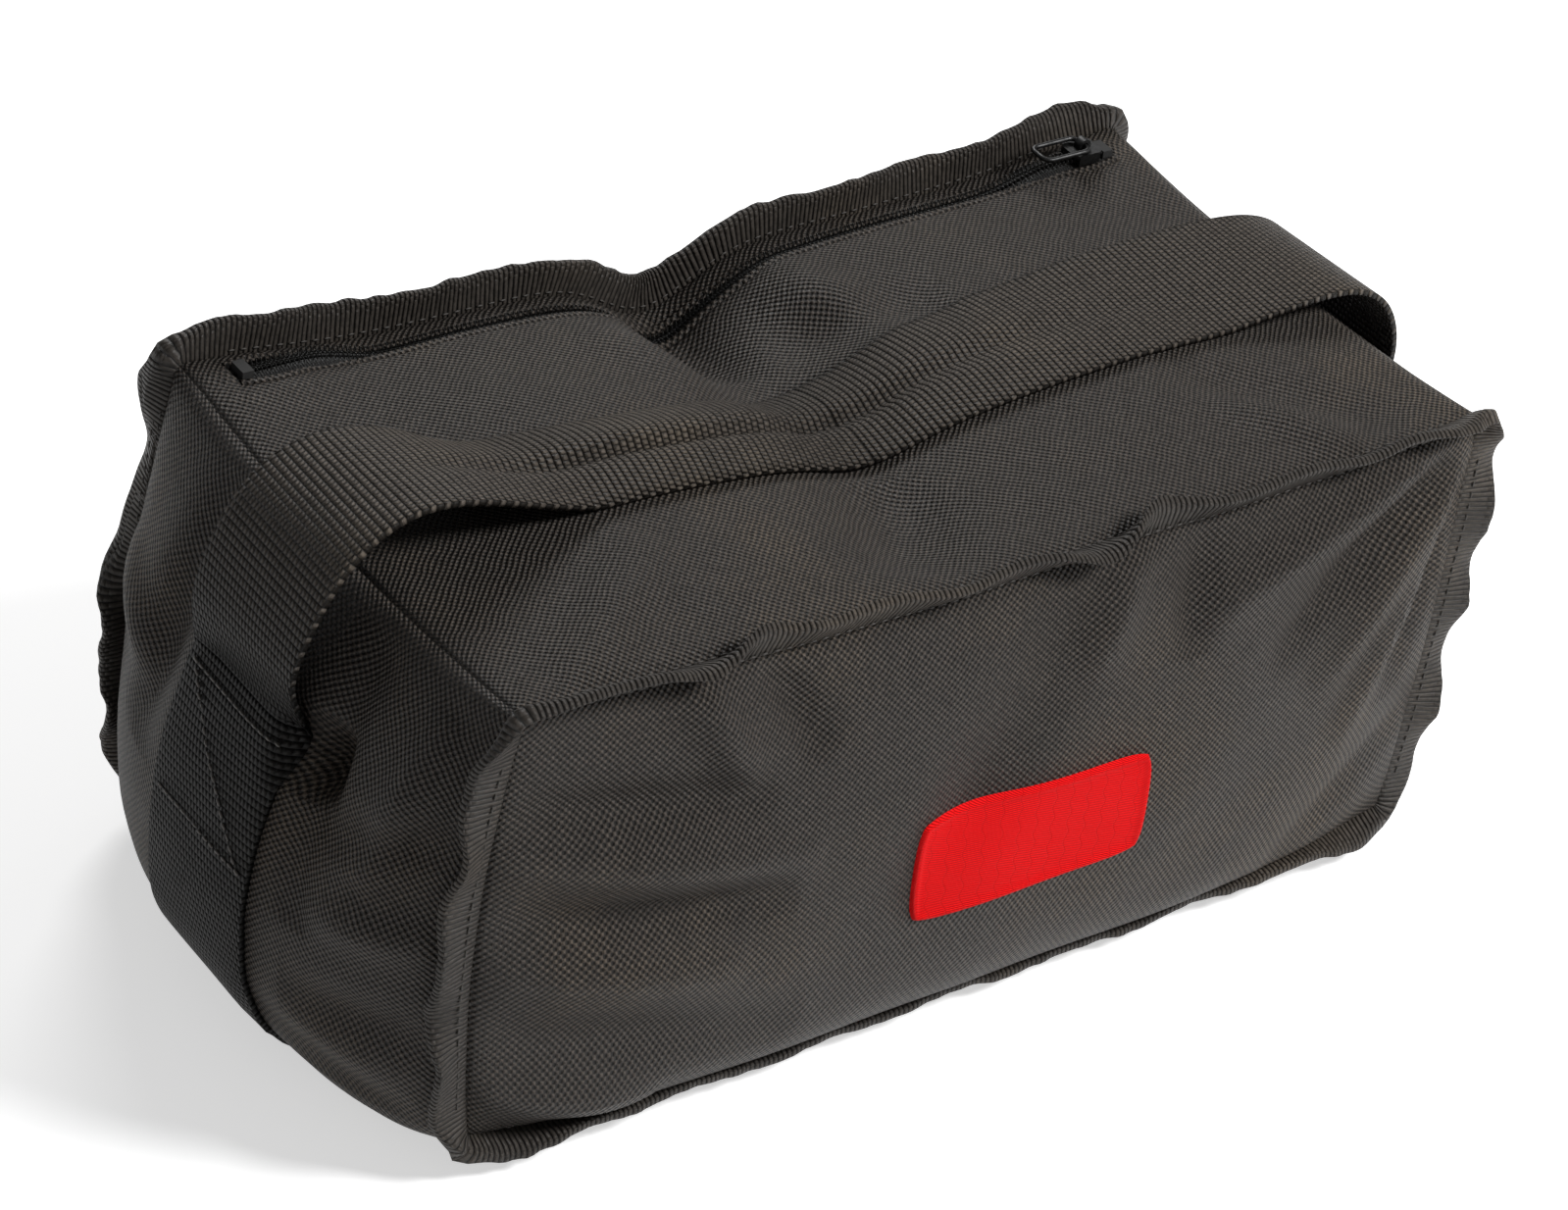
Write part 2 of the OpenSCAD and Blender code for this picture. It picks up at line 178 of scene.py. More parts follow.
# How far the cloth rolls under at the bottom of the front and back, in the same way
TUCK_UNDER = [(0, 3.0), (0.05, -5.0), (0.09, -7.8), (0.14, -7.6), (0.22, -5.0), (0.34, 0), (1, 0)]
FRONT_HANG, BACK_HANG, SIDE_HANG = 6 * MM, 9 * MM, 5.5 * MM    # of the top, between its corners
NOTCH_X, NOTCH_WIDE, NOTCH_DEEP = -8 * MM, 22 * MM, 16 * MM


def curve_through(points, at):
    """Smooth curve through (place, height in mm) points, in metres."""
    x, y = np.array(points, float).T
    fine = np.linspace(x[0], x[-1], 201)
    line = np.interp(fine, x, y)
    for _ in range(60):
        line[1:-1] = 0.25 * line[:-2] + 0.5 * line[1:-1] + 0.25 * line[2:]
    return np.interp(at, fine, line) * MM


def bump(at, centre, wide):
    """1 at the centre, falling smoothly to 0 on both sides."""
    return np.exp(-(((at - centre) / wide) ** 2))


def filled_shape(flat):
    """Where the filled bag takes each point of the sewn box."""
    x, y, z = flat.T
    a, b, c = x / HALF_LONG, y / HALF_DEEP, (z - SEAM_LOW) / (SEAM_HIGH - SEAM_LOW)
    across_end = np.clip(1 - abs(b) ** 2.6, 0, 1) ** 0.85
    bow = np.where(a < 0, 6, 2) * MM * np.sin(np.pi * np.clip(c, 0, 1))
    push_x = curve_through(END_BELLY, c) * across_end + bow * (1 - across_end)
    along_face = np.clip(1 - a ** 4, 0, 1) ** 0.9
    push_y = curve_through(FACE_BELLY, c) * along_face
    new_x = x + np.sign(a) * abs(a) ** 10 * push_x
    new_y = y + np.sign(b) * abs(b) ** 8 * push_y
    # How far the top hangs below its corners, blended between its four seams
    front = -FRONT_HANG * (1 - a * a) + 1.5 * MM * bump(x, 30 * MM, 40 * MM)
    back = -BACK_HANG * (1 - a ** 4) - NOTCH_DEEP * bump(x, NOTCH_X, NOTCH_WIDE)
    sides = -SIDE_HANG * (1 - b * b)
    hang = (1 - b) / 2 * front + (1 + b) / 2 * back + sides
    pillow = (1 - abs(b) ** 2.5) * (1 - a ** 6) * MM * (6 + 3 * (1 - np.cos(2 * np.pi * a)))
    # The cloth lies a little higher on the zip where the slider parks
    park = 3.2 * MM * bump(abs(x), 146 * MM, 20 * MM) * bump(y, 74 * MM, 16 * MM)
    new_z = z + c * c * hang + np.clip(c, 0, 1) ** 12 * (pillow + park)
    # The underside lies on the floor, but stands off it over the webbing, at its rim and at its corners
    rise = 0.5 * MM + 2.2 * MM * np.clip(1.6 - abs(y) / (24 * MM), 0, 1) ** 0.5
    rise = rise + 2.5 * MM * np.maximum(abs(a), abs(b)) ** 20 + 9 * MM * abs(a) ** 6 * abs(b) ** 6
    new_z += (rise - SEAM_LOW) * (1 - c) ** 6
    # Along the middle of the front and back the belly rolls over the seam, down to the floor
    tucked = np.clip(1 - abs(a) ** 7, 0, 1) * abs(b) ** 4
    new_z += tucked * np.interp(c, *np.array(TUCK_UNDER, float).T) * MM
    return np.stack([new_x, new_y, new_z], 1)


FLAT = flat_places(skin.data)
large = filled_shape(FLAT)
put_places(skin.data, large)
print("filled bag, mm:", (large.min(0) * 1000).round(1), (large.max(0) * 1000).round(1))

# %% [markdown]
# ## Slack cloth
# A filled bag is never smooth. Its panels are cut a little larger than the
# sand needs, and the spare cloth makes the small hollows and pulls near the
# seams. Blender's Cloth finds them: the rest shape is the flat cut, slightly
# oversize, the seams are held, and a light pressure stands for the sand.
# No point may travel further than a cap, so the bag keeps its size.

# %% Let the cloth settle
CUT_OVERSIZE = (1.02, 1.07, 1.09)
TRAVEL_CAP = 7 * MM
SETTLE_FRAMES = 16


def settle(piece, flat):
    """Runs Cloth on the piece with its seams and underside held, and keeps the capped result."""
    start = places_of(piece.data)
    piece.shape_key_add(name="Basis")
    cut = piece.shape_key_add(name="cut")
    middle = np.array([0, 0, (SEAM_LOW + SEAM_HIGH) / 2])
    cut.data.foreach_set("co", ((flat - middle) * CUT_OVERSIZE + middle).ravel())
    edge = np.sort(abs((flat - middle) / (HALF_LONG, HALF_DEEP, (SEAM_HIGH - SEAM_LOW) / 2)), 1)[:, 1]
    hold = np.where(edge > 0.999, 1.0, 0.0)
    hold[flat[:, 2] < SEAM_LOW + 1e-6] = 1.0
    held = piece.vertex_groups.new(name="held")
    for index, weight in enumerate(hold):
        held.add([index], float(weight), "REPLACE")
    cloth = piece.modifiers.new("cloth", "CLOTH")
    rules = cloth.settings
    rules.quality = 4
    rules.mass = 0.2
    rules.tension_stiffness = rules.compression_stiffness = 12
    rules.shear_stiffness = 3
    rules.bending_stiffness = 0.15
    rules.tension_damping = rules.compression_damping = rules.shear_damping = 8
    rules.air_damping = 3
    rules.use_pressure = True
    rules.uniform_pressure_force = 0.6
    rules.effector_weights.gravity = 0
    rules.vertex_group_mass = "held"
    rules.pin_stiffness = 1
    rules.rest_shape_key = cut
    cloth.collision_settings.use_collision = False
    for number in range(1, SETTLE_FRAMES + 1):
        bpy.context.scene.frame_set(number)
    settled = places_of(piece.evaluated_get(bpy.context.evaluated_depsgraph_get()).data)
    piece.modifiers.remove(cloth)
    piece.shape_key_clear()
    piece.vertex_groups.clear()
    bpy.context.scene.frame_set(1)
    step = settled - start
    far = np.linalg.norm(step, axis=1, keepdims=True)
    step *= np.minimum(1, TRAVEL_CAP / np.maximum(far, 1e-9))
    put_places(piece.data, start + step)
    print("cloth moved up to %.1f mm, kept up to %.1f mm" % (far.max() * 1000, TRAVEL_CAP * 1000))


settle(skin, FLAT)

# %% [markdown]
# ## Folds and seams
# One level of subdivision rounds the grid off between the seams, whose edges
# are creased to stay sharp. Then the folds that give this bag its character
# are pushed in along the normals, as a sculptor would, and each seam gets its
# shallow valley.

# %% Subdivide
def baked(piece):
    """Mesh of a piece with its modifiers applied."""
    return bpy.data.meshes.new_from_object(
        piece.evaluated_get(bpy.context.evaluated_depsgraph_get()))


def subdivided(piece, levels):
    fine = piece.modifiers.new("fine", "SUBSURF")
    fine.levels = fine.render_levels = levels
    mesh = baked(piece)
    piece.modifiers.remove(fine)
    piece.data = mesh


subdivided(skin, 1)
FLAT = flat_places(skin.data)
print("skin:", len(skin.data.polygons), "faces")


# %% [markdown]
# A fold is a soft ridge or hollow along a line on one panel. The lines run in
# from the seams and corners, where sand and stitches pull the cloth. They are
# listed panel by panel, so that each can be read and changed by itself.

# %% Push the folds in
def ridge(u, v, start, end, wide, high):
    """A fold along the line from start to end on a panel, fading at both ends."""
    (u0, v0), (u1, v1) = start, end
    run = math.hypot(u1 - u0, v1 - v0)
    along = ((u - u0) * (u1 - u0) + (v - v0) * (v1 - v0)) / run
    aside = ((v - v0) * (u1 - u0) - (u - u0) * (v1 - v0)) / run
    falloff = np.clip(np.sin(np.pi * np.clip(along / run, 0, 1)), 0, 1) ** 0.7
    return high * falloff * np.exp(-((aside / wide) ** 2))


FOLD_DEPTH = 2.15           # all heights below are multiplied by this
SEAM_DEEP, SEAM_WIDE = 2.1, 2.9 * MM
# (start, end, width, height), in mm on the flat panel; a negative height is a hollow
FRONT_FOLDS = [
    ((-168, 128), (-88, 118), 7, -2.2), ((-168, 112), (-70, 92), 8, 2.0),
    ((-168, 92), (-78, 82), 7, -2.4), ((-168, 74), (-92, 60), 7, 1.6),
    ((-168, 54), (-70, 40), 8, -2.0), ((-168, 34), (-110, 26), 6, 1.6),
    ((166, 160), (60, 128), 8, 2.6), ((166, 158), (88, 104), 7, -2.6),
    ((166, 156), (112, 84), 7, 2.0), ((168, 150), (146, 70), 6, -2.2),
    ((166, 154), (126, 60), 6, 1.6), ((168, 60), (110, 30), 8, -1.6),
    ((-118, 161), (-92, 120), 7, 2.2), ((-92, 161), (-70, 126), 6, -1.8),
    ((40, 161), (20, 120), 8, 2.0), ((64, 161), (56, 118), 7, -1.8),
    ((20, 150), (-40, 60), 14, -1.6)]
TOP_FOLDS = [
    ((-10, 88), (-14, 34), 9, -3.8), ((22, 74), (40, 18), 10, 2.0), ((-44, 66), (-30, 20), 10, 1.6),
    ((4, 40), (60, 30), 12, -2.4), ((96, -50), (128, -84), 8, 1.8), ((-12, -32), (-30, -80), 14, -3.0),
    ((-150, -84), (-92, -40), 10, 1.8), ((150, -80), (90, -30), 10, -1.8), ((12, 2), (-30, -4), 16, -2.0)]
LEFT_FOLDS = [
    ((-33, 160), (-40, 66), 9, -3.2), ((-30, 128), (-34, 104), 7, -6.0),
    ((-70, 150), (-60, 90), 8, 2.4), ((-86, 120), (-40, 96), 7, -2.0),
    ((-86, 84), (-44, 74), 7, 1.8), ((-86, 50), (-40, 44), 8, -2.0), ((40, 158), (46, 70), 9, -3.0),
    ((86, 110), (44, 90), 8, 1.8), ((-80, 20), (-20, 30), 8, -1.6)]
RIGHT_FOLDS = [
    ((38, 158), (42, 60), 9, -3.0), ((-38, 158), (-42, 66), 9, -3.4), ((86, 120), (44, 100), 8, 1.8),
    ((-86, 130), (-44, 104), 8, 2.0), ((-86, 70), (-44, 64), 8, -2.0), ((86, 60), (40, 50), 8, -1.8)]
BACK_FOLDS = [
    ((-168, 120), (-90, 104), 8, -2.0), ((-168, 80), (-80, 70), 8, 1.8), ((168, 130), (90, 108), 8, 2.0),
    ((168, 84), (96, 74), 8, -2.0), ((-8, 160), (-12, 90), 9, -3.0), ((40, 158), (60, 100), 9, 1.8),
    ((-60, 158), (-70, 100), 9, -1.6), ((168, 40), (100, 34), 8, 1.6)]


def seam_valley(flat):
    """1 on a seam, falling to 0 within a few millimetres."""
    gaps = np.sort(np.stack([HALF_LONG - abs(flat[:, 0]), HALF_DEEP - abs(flat[:, 1]),
                             np.minimum(flat[:, 2] - SEAM_LOW, SEAM_HIGH - flat[:, 2])], 1), 1)
    return bump(gaps[:, 1], 0, SEAM_WIDE)


def push_folds(piece):
    """Moves every point along its normal by the folds of its panel, the ripples and the seams."""
    mesh = piece.data
    co = places_of(mesh)
    normals = np.zeros(len(co) * 3)
    mesh.vertices.foreach_get("normal", normals)
    normals = normals.reshape(-1, 3)
    x, y, z = (FLAT / MM).T
    long, deep, low, high = np.array((HALF_LONG, HALF_DEEP, SEAM_LOW, SEAM_HIGH)) / MM
    near = 0.1
    on_top = z > high - near
    panels = [(y < near - deep, x, z, FRONT_FOLDS), (y > deep - near, x, z, BACK_FOLDS),
              (x < near - long, y, z, LEFT_FOLDS), (x > long - near, y, z, RIGHT_FOLDS),
              (on_top, x, y, TOP_FOLDS)]
    push = np.zeros(len(co))
    for inside, u, v, folds in panels:
        for start, end, wide, height in folds:
            push += np.where(inside, ridge(u, v, start, end, wide, height * FOLD_DEPTH), 0)
    gaps = np.stack([long - abs(x), deep - abs(y), np.minimum(z - low, high - z)], 1)
    to_seam = np.sort(gaps, 1)[:, 1]
    push *= np.clip(to_seam / 9, 0.12, 1)
    # Loose cloth ripples everywhere, in long soft waves
    ripple = np.sin(x / 17 + 2 * np.sin(z / 31 + y / 23)) * np.sin(z / 13 + y / 19 + 1.3 * np.sin(x / 29))
    push += 0.5 * ripple * np.clip(to_seam / 20, 0, 1)
    push -= SEAM_DEEP * seam_valley(FLAT)
    co += normals * (push * MM)[:, None]
    # The two edges of the zip's opening stand apart round the parked slider
    edges_apart = bump(y, SLOT_REAR / MM, 3) * 2.2 - bump(y, SLOT_FRONT / MM, 3) * 2.6
    co[:, 1] += np.where(on_top, bump(abs(FLAT[:, 0]), GAPE_X, GAPE_WIDE), 0) * edges_apart * MM
    over_web = (abs(FLAT[:, 1]) < WEB_WIDE / 2 + 2 * MM) & (FLAT[:, 2] < SEAM_LOW + 1e-6)
    co[:, 2] = np.maximum(co[:, 2], np.where(over_web, 2.4, 0.3) * MM)
    put_places(mesh, co)


push_folds(skin)
now = places_of(skin.data)
print("skin, mm:", (now.min(0) * 1000).round(1), (now.max(0) * 1000).round(1))

# %% [markdown]
# ## Helpers for finishes
# Cloth, tape and webbing are all woven, so they share the same few shader
# node groups, each built once and placed with its own sizes. A small helper
# writes a line of arithmetic as Math nodes, which keeps the node trees short
# to read here.

# %% Arithmetic with nodes
class Sums:
    """Writes arithmetic into a node tree: each call adds one Math node and gives its output."""

    def __init__(self, tree):
        self.nodes, self.links = tree.nodes, tree.links

    def math(self, operation, *values):
        node = self.nodes.new("ShaderNodeMath")
        node.operation = operation
        for socket, value in zip(node.inputs, values):
            if isinstance(value, (int, float)):
                socket.default_value = value
            else:
                self.links.new(value, socket)
        return node.outputs[0]

    def wave(self, place, pitch):
        """sin(pi * place / pitch)"""
        turns = self.math("DIVIDE", place, pitch)
        return self.math("SINE", self.math("MULTIPLY", turns, math.pi))

    def noise(self, vector, scale, detail=3.0, rough=0.5):
        node = self.nodes.new("ShaderNodeTexNoise")
        node.inputs["Scale"].default_value = scale
        node.inputs["Detail"].default_value = detail
        node.inputs["Roughness"].default_value = rough
        self.links.new(vector, node.inputs["Vector"])
        return node.outputs["Fac"]

    def band(self, value, low, high):
        """0 below low, 1 above high, smooth between."""
        node = self.nodes.new("ShaderNodeMapRange")
        node.interpolation_type = "SMOOTHSTEP"
        node.inputs["From Min"].default_value = low
        node.inputs["From Max"].default_value = high
        self.links.new(value, node.inputs["Value"])
        return node.outputs["Result"]

    def mix(self, amount, first, second):
        node = self.nodes.new("ShaderNodeMix")
        node.data_type = "RGBA"
        for index, value in ((0, amount), (6, first), (7, second)):
            if isinstance(value, tuple):
                node.inputs[index].default_value = (*value, 1)
            elif isinstance(value, (int, float)):
                node.inputs[index].default_value = value
            else:
                self.links.new(value, node.inputs[index])
        return node.outputs[2]


def new_group(name, inputs, outputs):
    """A shader node group with named sockets, its arithmetic helper, and its two end nodes."""
    tree = bpy.data.node_groups.new(name, "ShaderNodeTree")
    for label, kind, start in inputs:
        socket = tree.interface.new_socket(name=label, in_out="INPUT", socket_type=kind)
        if start is not None:
            socket.default_value = start
    for label, kind in outputs:
        tree.interface.new_socket(name=label, in_out="OUTPUT", socket_type=kind)
    first, last = tree.nodes.new("NodeGroupInput"), tree.nodes.new("NodeGroupOutput")
    return tree, Sums(tree), first.outputs, last.inputs


FLOAT, VECTOR, COLOUR = "NodeSocketFloat", "NodeSocketVector", "NodeSocketColor"


# %% [markdown]
# ### The weaves, their dust and their painted shade
# The shell is a coarse plain weave: each yarn goes over and under its
# neighbours, a chequer of little domes. The tape and the webbing are ribbed
# across, and their ribs are broken into short floats, set like bricks. Both
# come from products of sine waves of the cloth's own UV place, in metres, so
# the threads have their real size and follow every fold. A third group mixes
# the colour: painted shade darkens the gaps between threads, dust lies in
# patches, and painted shade darkens the webbing low down.

# %% Plain weave
def plain_weave_group():
    """Yarns over and under in a chequer: the height of the cloth, and where its gaps are."""
    tree, do, given, out = new_group(
        "plain_weave", [("Place", VECTOR, None), ("Yarn", FLOAT, 0.001)],
        [("Height", FLOAT), ("Gap", FLOAT)])
    split = tree.nodes.new("ShaderNodeSeparateXYZ")
    tree.links.new(given["Place"], split.inputs[0])
    wander = do.math("MULTIPLY_ADD", do.noise(given["Place"], 90.0, 2.0), 0.0012, -0.0006)
    u = do.math("ADD", split.outputs[0], wander)
    v = do.math("SUBTRACT", split.outputs[1], wander)
    dome = do.math("MULTIPLY", do.wave(u, given["Yarn"]), do.wave(v, given["Yarn"]))
    fuzz = do.math("MULTIPLY_ADD", do.noise(given["Place"], 2600.0, 1.0), 0.5, -0.25)
    height = do.math("ADD", do.math("MULTIPLY_ADD", dome, 0.5, 0.5), fuzz)
    tree.links.new(height, out["Height"])
    tree.links.new(do.band(dome, 0.48, -0.42), out["Gap"])
    return tree


# %% Ribbed weave
def ribbed_weave_group():
    """Ribs across the strip, each broken into short floats set like bricks."""
    tree, do, given, out = new_group(
        "ribbed_weave",
        [("Place", VECTOR, None), ("Rib", FLOAT, 0.0018), ("Float", FLOAT, 0.0012),
         ("Break", FLOAT, 0.5)],
        [("Height", FLOAT), ("Gap", FLOAT)])
    split = tree.nodes.new("ShaderNodeSeparateXYZ")
    tree.links.new(given["Place"], split.inputs[0])
    along, across = split.outputs[0], split.outputs[1]
    rib = do.math("ABSOLUTE", do.wave(along, given["Rib"]))
    turn = do.math("FLOOR", do.math("DIVIDE", along, given["Rib"]))
    shift = do.math("MULTIPLY", turn, math.pi / 2)
    floats = do.math("DIVIDE", across, given["Float"])
    cells = do.math("ABSOLUTE", do.math("SINE", do.math("MULTIPLY_ADD", floats, math.pi, shift)))
    between = do.math("SUBTRACT", 1.0, cells)
    broken = do.math("SUBTRACT", 1.0, do.math("MULTIPLY", given["Break"], between))
    height = do.math("MULTIPLY", do.math("POWER", rib, 0.7), broken)
    rough = do.math("MULTIPLY_ADD", do.noise(given["Place"], 1500.0, 2.0), 0.3, -0.15)
    tree.links.new(do.math("ADD", height, rough), out["Height"])
    tree.links.new(do.band(height, 0.62, 0.1), out["Gap"])
    return tree


# %% Dust and fading
def dust_and_shade_group():
    """Colour of worn black nylon: painted shade in the gaps of its weave, brown with dust in patches, and
    painted shade that darkens it towards the bottom by the amount of Fade, for the shaded legs of the
    webbing."""
    tree, do, given, out = new_group(
        "dust_and_shade", [("Place", VECTOR, None), ("Cloth", COLOUR, (0.03, 0.03, 0.03, 1)),
                  ("Dust", COLOUR, (0.09, 0.075, 0.06, 1)), ("Gap", FLOAT, 0.0), ("Amount", FLOAT, 0.5),
                  ("Fade", FLOAT, 0.0)],
        [("Colour", COLOUR), ("Rough", FLOAT)])
    patches = do.band(do.noise(given["Place"], 11.0, 4.0, 0.62), 0.47, 0.72)
    specks = do.band(do.noise(given["Place"], 420.0, 2.0, 0.6), 0.72, 0.80)
    grains = do.math("MULTIPLY", do.noise(given["Place"], 900.0, 2.0), 0.8)
    film = do.math("MULTIPLY", do.math("MULTIPLY", patches, given["Amount"]), grains)
    dusted = do.mix(do.math("MINIMUM", do.math("MULTIPLY_ADD", specks, 0.10, film), 1.0),
                    given["Cloth"], given["Dust"])
    # Painted shade: the gaps between threads are darkened towards black.
    shade = do.math("MULTIPLY", given["Gap"], 0.90)
    grain = do.band(do.noise(given["Place"], 620.0, 2.0, 0.7), 0.66, 0.30)
    uneven = do.mix(do.math("MULTIPLY", grain, 0.45), dusted, (0.008, 0.007, 0.006))
    split = tree.nodes.new("ShaderNodeSeparateXYZ")
    tree.links.new(given["Place"], split.inputs[0])
    # Painted shade: below 175 mm the colour is darkened, fully below 115 mm, by the amount of Fade.
    low_shade_mask = do.math("MULTIPLY", do.band(split.outputs[2], 0.175, 0.115), given["Fade"])
    low_shaded = do.mix(low_shade_mask, uneven, (0.004, 0.004, 0.004))
    tree.links.new(do.mix(shade, low_shaded, (0.002, 0.002, 0.002)), out["Colour"])
    tree.links.new(do.math("MULTIPLY_ADD", film, 0.25, 0.50), out["Rough"])
    return tree


plain_weave, ribbed_weave, dust_and_shade = plain_weave_group(), ribbed_weave_group(), dust_and_shade_group()
print("node groups:", [group.name for group in (plain_weave, ribbed_weave, dust_and_shade)])


# %% [markdown]
# ## Woven finishes
# One function makes every woven material. The weave group gives a height for
# the bump and says where the gaps are, and the dust_and_shade group turns that
# into colour, with painted shade in the gaps and low on the webbing. The sizes
# are those of real cloth: yarns a millimetre apart in the shell, ribs of 2.3 mm
# in the webbing. Black nylon is not black: dust and fading of its threads make
# it a warm dark grey.

# %% Helpers for materials
def shader(name, colour, rough, metal=0.0):
    """A new material, with its arithmetic helper and its main shader node."""
    material = bpy.data.materials.new(name)
    material.use_nodes = True
    body = material.node_tree.nodes["Principled BSDF"]
    body.inputs["Base Color"].default_value = (*colour, 1)
    body.inputs["Roughness"].default_value = rough
    body.inputs["Metallic"].default_value = metal
    return material, Sums(material.node_tree), body


def place_group(do, group, **values):
    """Puts a node group into a material, with its inputs set or linked."""
    node = do.nodes.new("ShaderNodeGroup")
    node.node_tree = group
    for label, value in values.items():
        socket = node.inputs[label]
        if isinstance(value, tuple):
            socket.default_value = (*value, 1)
        elif isinstance(value, (int, float)):
            socket.default_value = value
        else:
            do.links.new(value, socket)
    return node.outputs


def raise_threads(do, body, height, depth):
    """Bump of the given depth, in metres, from a height between 0 and 1."""
    relief = do.nodes.new("ShaderNodeBump")
    relief.inputs["Distance"].default_value = depth
    relief.inputs["Strength"].default_value = 1.0
    do.links.new(height, relief.inputs["Height"])
    do.links.new(relief.outputs["Normal"], body.inputs["Normal"])


def uv_place(do):
    """Place on the flat cloth, in metres."""
    node = do.nodes.new("ShaderNodeUVMap")
    node.uv_map = "cloth"
    return node.outputs["UV"]


def object_place(do):
    """Place in the piece's own frame."""
    return do.nodes.new("ShaderNodeTexCoord").outputs["Object"]


# %% Cloth, tape and webbing
def woven(name, weave, cloth, dust, amount, falloff, shine, depth, **sizes):
    """A woven finish: its weave group drives the bump and the gaps, and the dust_and_shade group its
    colour, with painted shade in the gaps and low down by the amount of falloff.
    """
    material, do, body = shader(name, cloth, 0.6)
    threads = place_group(do, weave, Place=uv_place(do), **sizes)
    finish = place_group(do, dust_and_shade, Place=object_place(do), Cloth=cloth, Dust=dust,
                         Gap=threads["Gap"], Amount=amount, Fade=falloff)
    do.links.new(finish["Colour"], body.inputs["Base Color"])
    do.links.new(finish["Rough"], body.inputs["Roughness"])
    body.inputs["Specular IOR Level"].default_value = shine
    raise_threads(do, body, threads["Height"], depth)
    return material


shell_cloth = woven(
    "shell_cloth", plain_weave, cloth=(0.086, 0.072, 0.061), dust=(0.23, 0.175, 0.12),
    amount=0.8, falloff=0.0, shine=0.24, depth=1.05 * MM, Yarn=1.08 * MM)
edge_tape = woven(
    "edge_tape", ribbed_weave, cloth=(0.050, 0.043, 0.037), dust=(0.17, 0.135, 0.10),
    amount=0.9, falloff=0.0, shine=0.24, depth=0.95 * MM, Rib=1.6 * MM, Float=3.0 * MM, Break=0.4)
# The webbing's falloff of 0.93 is painted shade, darkening it below 175 mm and most on its legs.
strap_webbing = woven(
    "strap_webbing", ribbed_weave, cloth=(0.118, 0.100, 0.084), dust=(0.25, 0.20, 0.14),
    amount=0.8, falloff=0.93, shine=0.14, depth=1.6 * MM, Rib=2.3 * MM, Float=1.7 * MM, Break=0.8)
zip_cloth = woven(
    "zip_cloth", ribbed_weave, cloth=(0.014, 0.014, 0.014), dust=(0.05, 0.045, 0.04),
    amount=0.3, falloff=0.0, shine=0.2, depth=0.2 * MM, Rib=0.9 * MM, Float=0.8 * MM, Break=0.3)
print("woven:", [m.name for m in (shell_cloth, edge_tape, strap_webbing, zip_cloth)])


# %% [markdown]
# ## Thread, metal, liner and sand
# The rest needs less: two close colours mixed by fine noise, and the same
# noise as a small bump. That is enough for twisted thread, nylon teeth, black
# lacquered metal and sand. Only the badge has threads of its own, laid side
# by side on a slant in rows of stitches, as an embroidery machine lays them.

# %% Plain finishes
def speckled(name, colour, second, rough, scale, depth, metal=0.0):
    """A plain finish with fine variation in colour and surface, from noise on the piece's own place."""
    material, do, body = shader(name, colour, rough, metal)
    fine = do.noise(object_place(do), scale, 4.0, 0.6)
    do.links.new(do.mix(do.band(fine, 0.35, 0.7), colour, second), body.inputs["Base Color"])
    do.links.new(do.math("MULTIPLY_ADD", fine, 0.25, rough - 0.12), body.inputs["Roughness"])
    raise_threads(do, body, fine, depth)
    return material


# name, two colours, roughness, scale of the noise, depth of the bump
black_thread = speckled("black_thread", (0.050, 0.044, 0.040), (0.085, 0.075, 0.065),
                        0.5, 1400.0, 0.1 * MM)
tape_thread = speckled("tape_thread", (0.030, 0.026, 0.023), (0.052, 0.046, 0.040),
                       0.6, 1400.0, 0.1 * MM)
coil_nylon = speckled("coil_nylon", (0.018, 0.018, 0.018), (0.04, 0.038, 0.035),
                      0.35, 900.0, 0.03 * MM)
stop_nylon = speckled("stop_nylon", (0.010, 0.010, 0.010), (0.02, 0.019, 0.018),
                      0.85, 900.0, 0.03 * MM)
slider_metal = speckled("slider_metal", (0.055, 0.055, 0.055), (0.035, 0.035, 0.035),
                        0.42, 700.0, 0.02 * MM, metal=1.0)
liner_cloth = speckled("liner_cloth", (0.07, 0.07, 0.068), (0.10, 0.098, 0.094),
                       0.65, 1200.0, 0.1 * MM)
dry_sand = speckled("dry_sand", (0.52, 0.40, 0.25), (0.34, 0.25, 0.15), 0.9, 1800.0, 0.5 * MM)
tie_cord = speckled("tie_cord", (0.68, 0.66, 0.60), (0.5, 0.48, 0.43), 0.7, 1500.0, 0.2 * MM)


